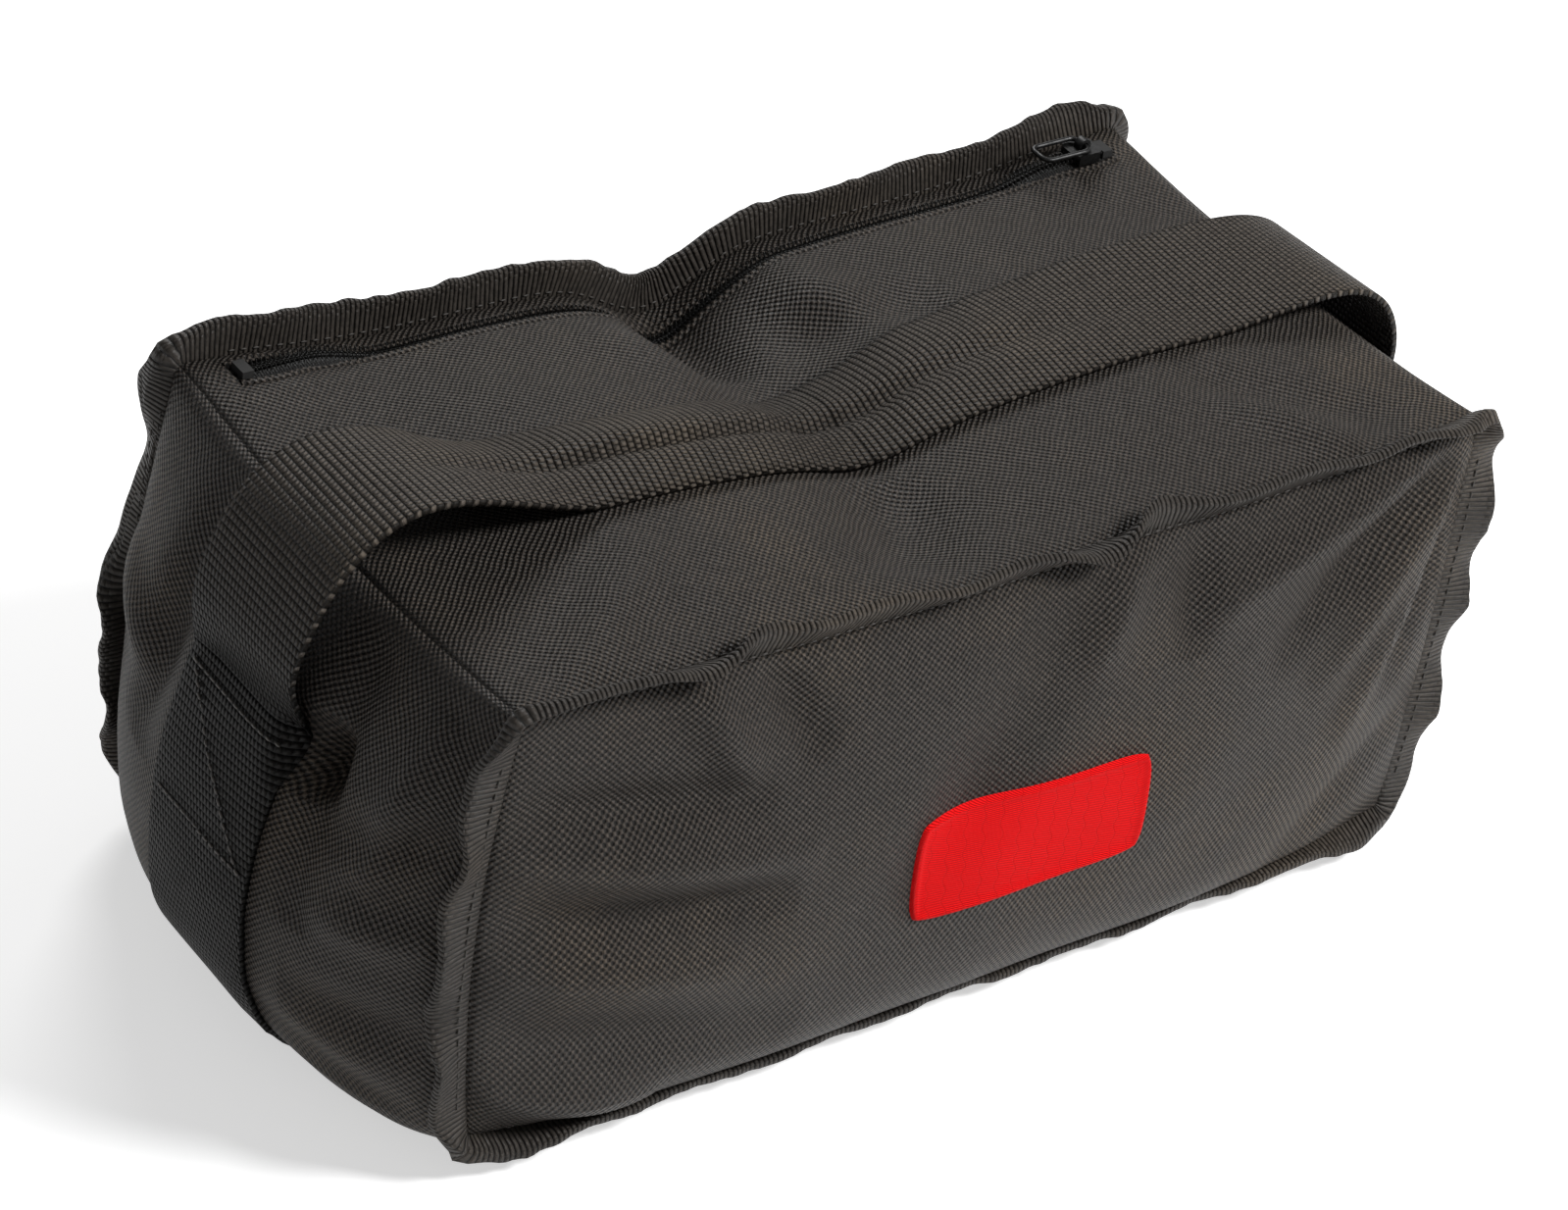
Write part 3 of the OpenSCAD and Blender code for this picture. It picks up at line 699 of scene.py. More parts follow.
# %% Embroidered finish
def satin_stitched():
    """Red embroidery thread laid side by side on a slant."""
    row_wide, thread_wide, slope = 6.1 * MM, 0.60 * MM, 0.45
    material, do, body = shader("satin_stitched", (0.9, 0.002, 0.003), 0.6)
    split = do.nodes.new("ShaderNodeSeparateXYZ")
    do.links.new(uv_place(do), split.inputs[0])
    slant = do.math("MULTIPLY_ADD", split.outputs[0], slope, split.outputs[1])
    sway = do.math("SINE", do.math("MULTIPLY", split.outputs[1], 900.0))
    lane = do.math("MULTIPLY_ADD", sway, 0.0006, split.outputs[0])
    row = do.math("FLOOR", do.math("DIVIDE", lane, row_wide))
    threads = do.math("ABSOLUTE", do.wave(do.math("MULTIPLY_ADD", row, 0.00017, slant), thread_wide))
    ends = do.band(do.math("ABSOLUTE", do.wave(lane, row_wide)), 0.0, 0.2)
    turned = do.math("MULTIPLY_ADD", ends, 0.25, 0.75)
    height = do.math("MULTIPLY", do.math("POWER", threads, 0.6), turned)
    body.inputs["Specular IOR Level"].default_value = 0.12
    # Painted shade and highlight: dark red where the threads are low, between them and at the turned ends
    # of rows, bright red on their crests.
    lit = do.mix(height, (0.42, 0.0005, 0.001), (0.95, 0.0012, 0.003))
    do.links.new(lit, body.inputs["Base Color"])
    raise_threads(do, body, height, 0.35 * MM)
    return material


red_thread = satin_stitched()
print("materials so far:", len(bpy.data.materials))


# %% [markdown]
# ## The six panels
# The skin is now cut along its seams into the six panels that a sewer would
# handle. Each gets a UV map of its own flat place, in metres, and a wall as
# thick as the cloth, grown inwards. The top is also cut open along the zip,
# and both edges of that opening get a hem later.

# %% Cut the skin into panels
def flat_uv(mesh, flat, panels):
    """UV map in metres: each face takes the two flat directions that its panel lies in."""
    corner_vertex = np.zeros(len(mesh.loops), int)
    mesh.loops.foreach_get("vertex_index", corner_vertex)
    corner_panel = np.repeat(panels, [len(p.vertices) for p in mesh.polygons])
    at = flat[corner_vertex]
    pair = np.array([[0, 2], [0, 2], [1, 2], [1, 2], [0, 1], [0, 1]])[corner_panel]
    uv = np.take_along_axis(at, pair, 1)
    mesh.uv_layers.new(name="cloth").uv.foreach_set("vector", uv.ravel())


def cut_out(source, name, keep):
    """A piece made of the faces of source for which keep(face, flat layer, panel layer) is true."""
    bm = bmesh.new()
    bm.from_mesh(source.data)
    panel, flat = bm.faces.layers.int["panel"], bm.verts.layers.float_vector["flat"]
    lost = [face for face in bm.faces if not keep(face, flat, panel)]
    bmesh.ops.delete(bm, geom=lost, context="FACES")
    mesh = bpy.data.meshes.new(name)
    bm.to_mesh(mesh)
    bm.free()
    return new_piece(name, mesh, FABRIC_THICK)


def new_piece(name, mesh, wall=0.0, offset=-1.0):
    """A smooth object from a mesh, with a wall grown on it if asked."""
    for polygon in mesh.polygons:
        polygon.use_smooth = True
    piece = bpy.data.objects.new(name, mesh)
    bpy.context.scene.collection.objects.link(piece)
    if wall:
        thick = piece.modifiers.new("wall", "SOLIDIFY")
        thick.thickness, thick.offset = wall, offset
        thick.use_even_offset = True
    return piece


def dress(piece, material):
    """Gives a piece its only material."""
    piece.data.materials.clear()
    piece.data.materials.append(material)
    return piece


def in_zip_slot(face, flat):
    """Whether a face of the top lies in the opening over the zip."""
    middle = sum((vert[flat] for vert in face.verts), Vector()) / len(face.verts)
    return abs(middle.x) < ZIP_HALF and SLOT_FRONT < middle.y < SLOT_REAR


face_panels = np.zeros(len(skin.data.polygons), int)
skin.data.attributes["panel"].data.foreach_get("value", face_panels)
flat_uv(skin.data, FLAT, face_panels)
SKIN_TREE = BVHTree.FromPolygons([v.co for v in skin.data.vertices],
                                 [tuple(p.vertices) for p in skin.data.polygons])
for number, part in enumerate(PANELS):
    piece = cut_out(skin, part + "_cloth",
                    lambda face, flat, panel: face[panel] == number
                    and not (part == "top" and in_zip_slot(face, flat)))
    dress(piece, shell_cloth)
    finish_piece(piece, "bag", "shell_fabric", part + "_panel")
    print(piece.name, len(piece.data.polygons), "faces")


# %% [markdown]
# ## Bent strips
# Tape, webbing and zip tape are all flat strips. Each starts as a flat grid
# with its UV map, and every point of the grid is then carried to its place on
# a path, which is how a strip of tape really gets its shape.

# %% Strip helper
def strip(name, along, across, carry, wall=0.0, offset=-1.0, closed=False):
    """A grid of along x across faces; carry(u, v) gives places and UVs for u, v from 0 to 1.
    In a closed strip the points that meet are joined."""
    bm = bmesh.new()
    uv_layer = bm.loops.layers.uv.new("cloth")
    bmesh.ops.create_grid(bm, x_segments=along, y_segments=across, size=0.5)
    flat = np.array([(v.co.x + 0.5, v.co.y + 0.5) for v in bm.verts])
    places, uvs = carry(flat[:, 0], flat[:, 1])
    for vert, place in zip(bm.verts, places):
        vert.co = place
    bm.verts.index_update()
    for face in bm.faces:
        for corner in face.loops:
            corner[uv_layer].uv = uvs[corner.vert.index]
    if closed:
        bmesh.ops.remove_doubles(bm, verts=bm.verts, dist=0.02 * MM)
    bmesh.ops.recalc_face_normals(bm, faces=bm.faces)
    mesh = bpy.data.meshes.new(name)
    bm.to_mesh(mesh)
    bm.free()
    return new_piece(name, mesh, wall, offset)


def lengths_along(points):
    """Distance of each point from the first, along the line."""
    return np.concatenate([[0], np.cumsum(np.linalg.norm(np.diff(points, axis=0), axis=1))])


def resampled(points, share):
    """Points at the given shares of a line's length."""
    run = lengths_along(points)
    return np.stack([np.interp(share * run[-1], run, points[:, k]) for k in range(points.shape[1])], 1)


def softened(values, times, closed=True):
    """Values averaged with their neighbours, a number of times over."""
    values = np.array(values, float)
    for _ in range(times):
        before = np.roll(values, 1, 0) if closed else np.concatenate([values[:1], values[:-1]])
        after = np.roll(values, -1, 0) if closed else np.concatenate([values[1:], values[-1:]])
        values = 0.25 * before + 0.5 * values + 0.25 * after
    return values


print("strip helpers ready:", [helper.__name__ for helper in (strip, resampled, softened)])

# %% [markdown]
# ## Edge binding
# The front and back panels are joined to the rest with a raw seam on the
# outside, wrapped in a folded tape. The seam stands out from the bag, so the
# tape stands too, and it waves because it was stretched as it was sewn. The
# tape's section is a flat rounded loop, carried round the seam; the way it
# leans is set for each side and turned by waves and puckers. At the corners
# it is gathered, so it is narrower and fuller there.

# %% Follow the seams
TAPE_THICK, TAPE_SUNK, TAPE_RAGGED = 3.2 * MM, 1.8 * MM, 1.1 * MM
CORNER_TUCK, CORNER_RUN = 0.42, 9 * MM      # share of width lost at a corner, and how far along
TOP_RIGHT = 2 * HALF_LONG + SEAM_HIGH - SEAM_LOW    # place of that corner on the way round
RING_STEP = 2.0 * MM


def seam_loop(side):
    """The seam of the front (side -1) or back (side 1) panel, from its lower left corner round
    to the right, and how far round each point was on the flat panel."""
    on_seam = (np.abs(FLAT[:, 1] - side * HALF_DEEP) < 1e-6) & (
        (np.abs(np.abs(FLAT[:, 0]) - HALF_LONG) < 1e-6) | (np.abs(FLAT[:, 2] - SEAM_LOW) < 1e-6)
        | (np.abs(FLAT[:, 2] - SEAM_HIGH) < 1e-6))
    flat, tall, long = FLAT[on_seam], SEAM_HIGH - SEAM_LOW, 2 * HALF_LONG
    x, z = flat[:, 0] + HALF_LONG, flat[:, 2] - SEAM_LOW
    round_ = np.where(z < 1e-6, x, np.where(x > long - 1e-6, long + z, np.where(
        z > tall - 1e-6, 2 * long + tall - x, 2 * long + 2 * tall - z)))
    order = np.argsort(round_)
    return places_of(skin.data)[on_seam][order], round_[order]


print("points on the front seam:", len(seam_loop(-1)[0]))

# %% [markdown]
# At every ring along the seam the tape has three directions: ahead along the
# seam, out from the bag, and face, across the tape. The section is drawn with
# the last two, and turned about the first by the angle of the waves.

# %% Fold tape round a seam
def tape_round(name, side, tape_wide, leans, waves, puckers):
    """leans: outward direction on the bottom, right, top and left. waves: (length, swing) for each.
    puckers: (place round the seam, half length, turn in degrees) where the tape flips."""
    loop, round_ = seam_loop(side)
    whole = 2 * (2 * HALF_LONG + SEAM_HIGH - SEAM_LOW)
    rings = int(whole / RING_STEP)
    share = np.arange(rings) * whole / rings
    closed = np.append(round_, whole)
    path = np.stack([np.interp(share, closed, np.append(loop[:, k], loop[0, k])) for k in range(3)], 1)
    path = softened(path, 3)
    corners = np.cumsum([0, 2 * HALF_LONG, SEAM_HIGH - SEAM_LOW, 2 * HALF_LONG])
    which = np.searchsorted(corners, share, side="right") - 1
    out = softened(np.array(leans, float)[which], 18)
    ahead = np.roll(path, -1, 0) - np.roll(path, 1, 0)
    ahead /= np.linalg.norm(ahead, axis=1, keepdims=True)
    out -= (out * ahead).sum(1, keepdims=True) * ahead
    out /= np.linalg.norm(out, axis=1, keepdims=True)
    face = np.cross(ahead, out)
    wavelength, swing = softened(np.array(waves, float)[which], 10).T
    phase = np.cumsum(2 * np.pi * RING_STEP / wavelength)
    slow, quick = 0.55 * np.sin(0.43 * phase + 1.3), 0.16 * np.sin(1.7 * phase + 0.4)
    angle = swing * (np.sin(phase) + slow + quick)
    for place, half, turn in puckers:
        angle += math.radians(turn) * bump(share, place, half)
    along = np.append(share, whole)
    # The tape is gathered at the corners, where it can't lie flat
    to_corners = (share[:, None] - corners + whole / 2) % whole - whole / 2
    tuck = 1 - CORNER_TUCK * bump(abs(to_corners).min(1), 0, CORNER_RUN)
    ragged = softened(np.random.default_rng(5).uniform(-1, 1, rings), 1) * TAPE_RAGGED

    def carry(u, v):
        ring = np.rint(u * rings).astype(int) % rings
        turn = 2 * np.pi * v
        # A flat loop: long and thin, fuller at its outer fold
        reach = (tape_wide / 2) * (1 - np.sign(np.cos(turn)) * abs(np.cos(turn)) ** 0.35) - TAPE_SUNK
        depth = TAPE_THICK / 2 * np.sign(np.sin(turn)) * abs(np.sin(turn)) ** 0.5
        depth = depth * (0.82 + 0.28 * reach / tape_wide)
        reach = reach + ragged[ring] * np.clip(reach / tape_wide, 0, 1) ** 2
        reach = np.where(reach > 0, reach * tuck[ring], reach)
        depth = depth * (1 + 1.4 * (1 - tuck[ring]))
        # The outer edge lags the seam, so that the waves grow towards it
        lean = angle[ring] * np.clip(reach / tape_wide, 0, 1) ** 0.6
        bend_out, bend_up = reach * np.cos(lean), reach * np.sin(lean)
        co = path[ring] + out[ring] * bend_out[:, None] + face[ring] * (bend_up + depth)[:, None]
        co[:, 2] = np.maximum(co[:, 2], 0.4 * MM)
        return co, np.stack([along[np.rint(u * rings).astype(int)], v * 2 * tape_wide], 1)

    piece = strip(name, rings, 18, carry, closed=True)
    dress(piece, edge_tape)
    return piece, path, out, face, angle, tuck


# %% [markdown]
# The front tape leans outwards over the front edge of the top; the rear one
# stands up. Lengths of waves and places of puckers are in metres along the
# seam, and turns of puckers in degrees.

# %% Front and rear tape
DEG = math.radians(1)
front_tape, *front_frame = tape_round(
    "front_edge_tape", -1, 12.5 * MM,
    leans=[(0, -1, 0.02), (1, -0.15, 0), (0, -0.58, 0.82), (-1, -0.12, 0)],
    waves=[(0.045, 5 * DEG), (0.036, 15 * DEG), (0.050, 8 * DEG), (0.037, 13 * DEG)],
    puckers=[(0.750, 0.011, 26), (0.772, 0.011, -30), (0.615, 0.012, 24), (0.638, 0.012, -32),
             (TOP_RIGHT + 0.012, 0.02, -35), (TOP_RIGHT + 0.332, 0.018, -30),
             (0.006, 0.022, 30), (0.340, 0.018, 35)])
back_tape, *back_frame = tape_round(
    "back_edge_tape", 1, 14 * MM,
    leans=[(0, 1, 0.12), (1, 0.15, 0), (0, 0.12, 1), (-1, 0.1, 0)],
    waves=[(0.040, 6 * DEG), (0.036, 13 * DEG), (0.052, 6 * DEG), (0.034, 13 * DEG)],
    puckers=[(TOP_RIGHT + 0.012, 0.02, 25), (0.850, 0.020, 88), (0.880, 0.024, 100)])
finish_piece(front_tape, "bag", "binding_tape", "front_binding")
finish_piece(back_tape, "bag", "binding_tape", "back_binding")
print("edge tapes:", len(front_tape.data.polygons), "faces each")


# %% [markdown]
# ## Webbing
# One length of 50 mm webbing runs under the bag, up both ends, where it is
# stitched down in a Z, and over the top as a loose handle. Its two edges are
# drawn as two lines, so that it can lean and twist, and the strip lies
# between them. Where it would cut into the bag, it is moved out onto the
# cloth. In the middle of the top its edges are drawn together, so it is
# creased lengthwise there, into two ridges and a valley.

# %% Lines of the webbing's edges
WEB_THICK, SEWN_GAP = 1.8 * MM, 0.3 * MM
LEG_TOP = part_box("base_webbing")[1].z
HANDLE_ROWS, BASE_ROWS, WEB_COLUMNS = 280, 220, 20
LIE = WEB_THICK / 2 + SEWN_GAP          # middle of the webbing above the cloth it lies on
UNDER_X, TURN_X, TURN_Z = 178 * MM, 185 * MM, 3.4 * MM      # where it turns under the bag
ON_END_X = 166 * MM                     # further out than this it lies on an end, not on the top


def on_cloth(origin, way):
    """Where a line of sight meets the skin."""
    hit, *_ = SKIN_TREE.ray_cast(Vector(origin), Vector(way))
    return hit


# (x, y, z) in mm of the handle's front edge and rear edge, between the two rows of stitching
FRONT_EDGE = [(-199, -25, 130), (-196, -25, 141), (-191, -25, 153), (-185, -25, 166), (-174, -25, 177),
              (-161, -25, 182), (-146, -25, 180), (-119, -25, 170), (-99, -25, 163), (-72, -25, 158),
              (-38, -25, 153), (-3, -25, 151), (32, -25, 154), (68, -25, 157), (104, -25, 161),
              (135, -25, 164), (158, -25, 166), (174, -25, 166), (187, -25, 160), (195, -25, 148),
              (199, -25, 132)]
REAR_EDGE = [(-199, 25, 130), (-194, 25, 147), (-186, 25, 165), (-173, 25, 174), (-157, 25, 176),
             (-138, 24, 170), (-125, 21, 163), (-99, 16, 155), (-76, 13, 152), (-48, 13, 150),
             (-8, 16, 150), (30, 21, 155), (66, 24, 161), (105, 25, 165), (143, 25, 166), (170, 25, 164),
             (186, 25, 158), (196, 25, 146), (199, 25, 132)]


def leg_line(side, y, heights):
    """Points on the outside of an end of the bag, going through the given heights."""
    points = []
    for z in heights:
        hit = on_cloth((side * OUTSIDE, y, z), (-side, 0, 0))
        points.append((hit.x + side * LIE, y, z))
    return points


def edge_line(handle, y):
    """The whole loop of one edge of the webbing: up the left leg, over, down the right leg and under."""
    down = np.arange(114, 11, -4) * MM
    over = [tuple(np.array(p) * MM) for p in handle]
    left, right = leg_line(-1, y, down[::-1]), leg_line(1, y, down)
    under = [(x, y, WEB_THICK / 2 + 0.1 * MM) for x in np.linspace(UNDER_X, -UNDER_X, 60)]
    top_left, top_right = leg_line(-1, y, [LEG_TOP]), leg_line(1, y, [LEG_TOP])
    upper = np.array(left[-6:] + top_left + over + top_right + right[:6])
    lower = np.array(top_right + right + [(TURN_X, y, TURN_Z)] + under
                     + [(-TURN_X, y, TURN_Z)] + left + top_left)
    fine = softened(resampled(upper, np.linspace(0, 1, 500)), 60, closed=False)
    keep = fine[:, 2] >= LEG_TOP
    first, last = keep.argmax(), len(keep) - keep[::-1].argmax() - 1
    upper = resampled(fine[first:last + 1], np.linspace(0, 1, HANDLE_ROWS + 1))
    lower = resampled(lower, np.linspace(0, 1, 600))
    lower[1:-1] = softened(lower, 12, closed=False)[1:-1]
    lower[0], lower[-1] = upper[-1], upper[0]
    lower = resampled(softened(lower, 3, closed=False), np.linspace(0, 1, BASE_ROWS + 1))
    lower[0], lower[-1] = upper[-1], upper[0]
    return upper, lower


front_over, front_under = edge_line(FRONT_EDGE, -WEB_WIDE / 2)
rear_over, rear_under = edge_line(REAR_EDGE, WEB_WIDE / 2)
print("front edge over the bag, mm:", round(lengths_along(front_over)[-1] / MM))

# %% [markdown]
# Between its edges the webbing is a sheet of points. It is rested on the cloth
# and smoothed in turn, so that it lies on the bag without cutting into it and
# without copying every small fold; the crease is put in last.

# %% Lay the webbing on the bag
def rest_on_cloth(sheet):
    """Moves out every point of the webbing that would lie in the cloth."""
    for row in sheet:
        for point in row:
            x, y, z = point
            if abs(x) > ON_END_X and z > 8 * MM:
                side = math.copysign(1, x)
                hit = on_cloth((side * OUTSIDE, y, z), (-side, 0, 0))
                if hit is not None:
                    point[0] = side * max(abs(x), abs(hit.x) + LIE)
            elif z > 100 * MM:
                hit = on_cloth((x, y, OUTSIDE), (0, 0, -1))
                if hit is not None:
                    point[2] = max(z, hit.z + LIE)
    return sheet


ACROSS = np.linspace(0, 1, WEB_COLUMNS + 1)


def sheet_between(front, rear):
    """Rows of points between the two edges."""
    return front[:, None] * (1 - ACROSS)[:, None] + rear[:, None] * ACROSS[:, None]


def creased(sheet):
    """Folds the webbing up lengthwise, in two ridges and a valley, where its edges are close."""
    front, rear = sheet[:, 0], sheet[:, -1]
    span = np.linalg.norm(rear - front, axis=1)
    face = np.cross(np.gradient((front + rear) / 2, axis=0), rear - front)
    face /= np.linalg.norm(face, axis=1, keepdims=True)
    spare = np.clip(WEB_WIDE / span - 1, 0, 0.5)
    height = softened(span / np.pi * np.sqrt(spare), 20, closed=False)
    fold = 0.85 * np.sin(np.pi * ACROSS) ** 0.8 - 0.62 * bump(ACROSS, 0.45, 0.085)
    return sheet + face[:, None] * (height[:, None] * fold)[:, :, None]


handle_sheet = rest_on_cloth(sheet_between(front_over, rear_over))
base_sheet = rest_on_cloth(sheet_between(front_under, rear_under))
for smoothing in (16, 6, 2):
    for _ in range(smoothing):
        handle_sheet[1:-1] = (handle_sheet[:-2] + 2 * handle_sheet[1:-1] + handle_sheet[2:]) / 4
        inner = handle_sheet[1:-1]
        inner[:, 1:-1] = (inner[:, :-2] + 6 * inner[:, 1:-1] + inner[:, 2:]) / 8
    rest_on_cloth(handle_sheet)
handle_sheet[1:-1] = creased(handle_sheet)[1:-1]
base_sheet[0], base_sheet[-1] = handle_sheet[-1], handle_sheet[0]
print("highest point of the handle, mm:", round(handle_sheet[:, :, 2].max() / MM, 1))

# %% [markdown]
# The real handle is one length, but each end of it is sewn down on its own.
# So it is made in two halves, which stand in for the handle of the CAD model.

# %% Make the webbing
def webbing_piece(name, sheet, start):
    """A strip through the sheet's points. Its weave goes on from the length used so far."""
    rows = len(sheet) - 1
    run = start + lengths_along(sheet[:, WEB_COLUMNS // 2])

    def carry(u, v):
        row, column = np.rint(u * rows).astype(int), np.rint(v * WEB_COLUMNS).astype(int)
        return sheet[row, column], np.stack([run[row], v * WEB_WIDE], 1)

    piece = strip(name, rows, WEB_COLUMNS, carry, wall=WEB_THICK, offset=0)
    return dress(piece, strap_webbing), run[-1]


half = HANDLE_ROWS // 2
left_half, run = webbing_piece("carry_handle_left", handle_sheet[:half + 1], 0)
right_half, run = webbing_piece("carry_handle_right", handle_sheet[half:], run)
base_web, run = webbing_piece("base_webbing_strap", base_sheet, run)
print("webbing length, mm:", round(run * 1000))
for side, piece in ((-1, left_half), (1, right_half)):
    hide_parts("carry_handle")
    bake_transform(piece)
finish_piece(base_web, "bag", "webbing", "base_webbing")

# %% [markdown]
# ## Stitches
# A machine stitch is a short, tight bead of thread. One low-faced ball,
# stretched and laid along the line again and again, makes a row of them. The
# same helper sews the Z on each end and the line that holds the edge tape.

# %% Stitch helper
def sewn_row(name, stitches, long, thick, material):
    """One bead of thread for each (place, way along, way out) in stitches."""
    bead = bpy.data.meshes.new("bead")
    bm = bmesh.new()
    bmesh.ops.create_uvsphere(bm, u_segments=6, v_segments=4, radius=1)
    bm.to_mesh(bead)
    bm.clear()
    for place, along, out in stitches:
        along, out = Vector(along).normalized(), Vector(out).normalized()
        side = out.cross(along).normalized()
        out = along.cross(side)
        turn = Matrix((along * long / 2, side * thick / 2, out * thick / 2.4)).transposed().to_4x4()
        laid = bead.copy()
        laid.transform(Matrix.Translation(Vector(place)) @ turn)
        bm.from_mesh(laid)
        bpy.data.meshes.remove(laid)
    bpy.data.meshes.remove(bead)
    bmesh.ops.recalc_face_normals(bm, faces=bm.faces)
    mesh = bpy.data.meshes.new(name)
    bm.to_mesh(mesh)
    bm.free()
    return dress(new_piece(name, mesh), material)


# %% [markdown]
# The sewn patch on each end takes the whole pull of the handle: a row across
# its top, a slanting row, and a row across its foot, in thick thread.

# %% Sew the Z on each end
STITCH_LONG, STITCH_PITCH, STITCH_THICK = 2.7 * MM, 3.2 * MM, 1.1 * MM
# (y, z) in mm, at the ends of the three rows
Z_LINE = [(-21, 112), (21, 112), (-21, 71), (21, 71)]


def z_stitches(side):
    """Place and directions of each stitch of the Z on one end of the bag."""
    found = []
    for (y0, z0), (y1, z1) in zip(Z_LINE, Z_LINE[1:]):
        count = int(math.hypot(y1 - y0, z1 - z0) * MM / STITCH_PITCH)
        along = Vector((0, (y1 - y0), (z1 - z0))).normalized()
        for k in range(count + 1):
            y, z = (y0 + (y1 - y0) * k / count) * MM, (z0 + (z1 - z0) * k / count) * MM
            line = base_sheet[:, round((y / WEB_WIDE + 0.5) * WEB_COLUMNS)]
            leg = line[(np.sign(line[:, 0]) == side) & (line[:, 2] > 30 * MM)]
            nearest = leg[np.argmin(abs(leg[:, 2] - z))]
            x = nearest[0] + side * (WEB_THICK / 2 + 0.1 * MM)
            found.append(((x, y, z), along, (side, 0, 0)))
    return found


for side, part in ((-1, "left"), (1, "right")):
    row = sewn_row(part + "_z_stitches", z_stitches(side), STITCH_LONG, STITCH_THICK, black_thread)
    finish_piece(row, "bag", "black_thread", part + "_anchor_stitching")
    print(row.name, len(row.data.polygons), "faces")


# %% [markdown]
# A finer row holds the edge tape, close to its inner edge and on both sides of
# it. It stops at the corners, where the gathered tape hides it.

# %% Sew the edge tape down
SEWN_AT, LEAN_RUN = 2.4 * MM, 14 * MM       # row of stitches, and full lean, from the seam
FINE_LONG, FINE_THICK = 2.6 * MM, 0.7 * MM
LEAST_TUCK = 0.97                           # below this the tape is gathered at a corner


def tape_stitches(path, out, face, angle, tuck):
    """Place and directions of each stitch along a tape, two rings apart."""
    found = []
    for ring in range(0, len(path), 2):
        if tuck[ring] < LEAST_TUCK:
            continue
        ahead = path[(ring + 1) % len(path)] - path[ring]
        lean = angle[ring] * (SEWN_AT / LEAN_RUN) ** 0.6
        reach = out[ring] * math.cos(lean) + face[ring] * math.sin(lean)
        middle = path[ring] + SEWN_AT * reach
        for way in (1, -1):
            found.append((middle + face[ring] * way * (TAPE_THICK * 0.5), ahead, face[ring] * way))
    return [s for s in found if s[0][2] > 1.5 * MM]


for part, frame_lines in (("front", front_frame), ("back", back_frame)):
    row = sewn_row(part + "_tape_stitches", tape_stitches(*frame_lines), FINE_LONG, FINE_THICK,
                   tape_thread)
    finish_piece(row, "bag", "black_thread")
    print(row.name, len(row.data.polygons), "faces")

# %% [markdown]
# ## Zip
# The zip lies just in front of the rear seam, sunk between two turned edges,
# and it follows the top down into its notch. Its two tapes are flat strips;
# their height is read off the cloth in front of them, and kept level at the
# ends, where the slider parks.

# %% Height of the zip along the top
TAPE_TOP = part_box("zip_tape_front")[1].z
SUNK = 2.2 * MM                         # of the tape below the cloth in front of it
zip_x = np.linspace(-ZIP_HALF, ZIP_HALF, 159)
cloth_z = np.array([on_cloth((x, 71.5 * MM, OUTSIDE), (0, 0, -1)).z for x in zip_x])
zip_z = np.minimum(TAPE_TOP, cloth_z - SUNK)
parked = np.clip((abs(zip_x) - 112 * MM) / (20 * MM), 0, 1)
zip_z = softened(zip_z * (1 - parked) + TAPE_TOP * parked, 12, closed=False)
print("zip height at its ends, mm:", (zip_z[[12, -13]] * 1000).round(1))
print("zip height at its lowest, mm:", (zip_z.min() * 1000).round(1))


def zip_level(x):
    """Height of the zip tape at a place along it."""
    return np.interp(x, zip_x, zip_z)


def zip_tape(name, y0, y1, node):
    """One tape of the zip, from y0 to y1, sloping down away from the teeth."""
    def carry(u, v):
        x, y = (2 * u - 1) * ZIP_HALF, y0 + (y1 - y0) * v
        deep = np.clip(abs(y - ZIP_Y) - 2 * MM, 0, None) * 0.5
        return np.stack([x, y, zip_level(x) - 0.4 * MM - deep], 1), np.stack([x, y], 1)

    piece = dress(strip(name, 100, 5, carry, wall=0.8 * MM, offset=0), zip_cloth)
    return finish_piece(piece, "bag", "zip_tape", node)


zip_tape("front_zip_tape", 66 * MM, 75.2 * MM, "zip_tape_front")
zip_tape("rear_zip_tape", 76.8 * MM, 88 * MM, "zip_tape_rear")


# %% [markdown]
# Each row of teeth is one nylon coil: a small ring of points spun round the
# zip's line and moved along it at every step, which is just how the real coil
# is wound. It is then lowered onto the height of the zip.

# %% Wind the two coils
COIL_LONG, COIL_PITCH = 306 * MM, 1.5 * MM
COIL_HALF, COIL_WIRE = 1.2 * MM, 0.3 * MM       # outer radius of the coil, and of its wire
STEPS_ROUND = 9


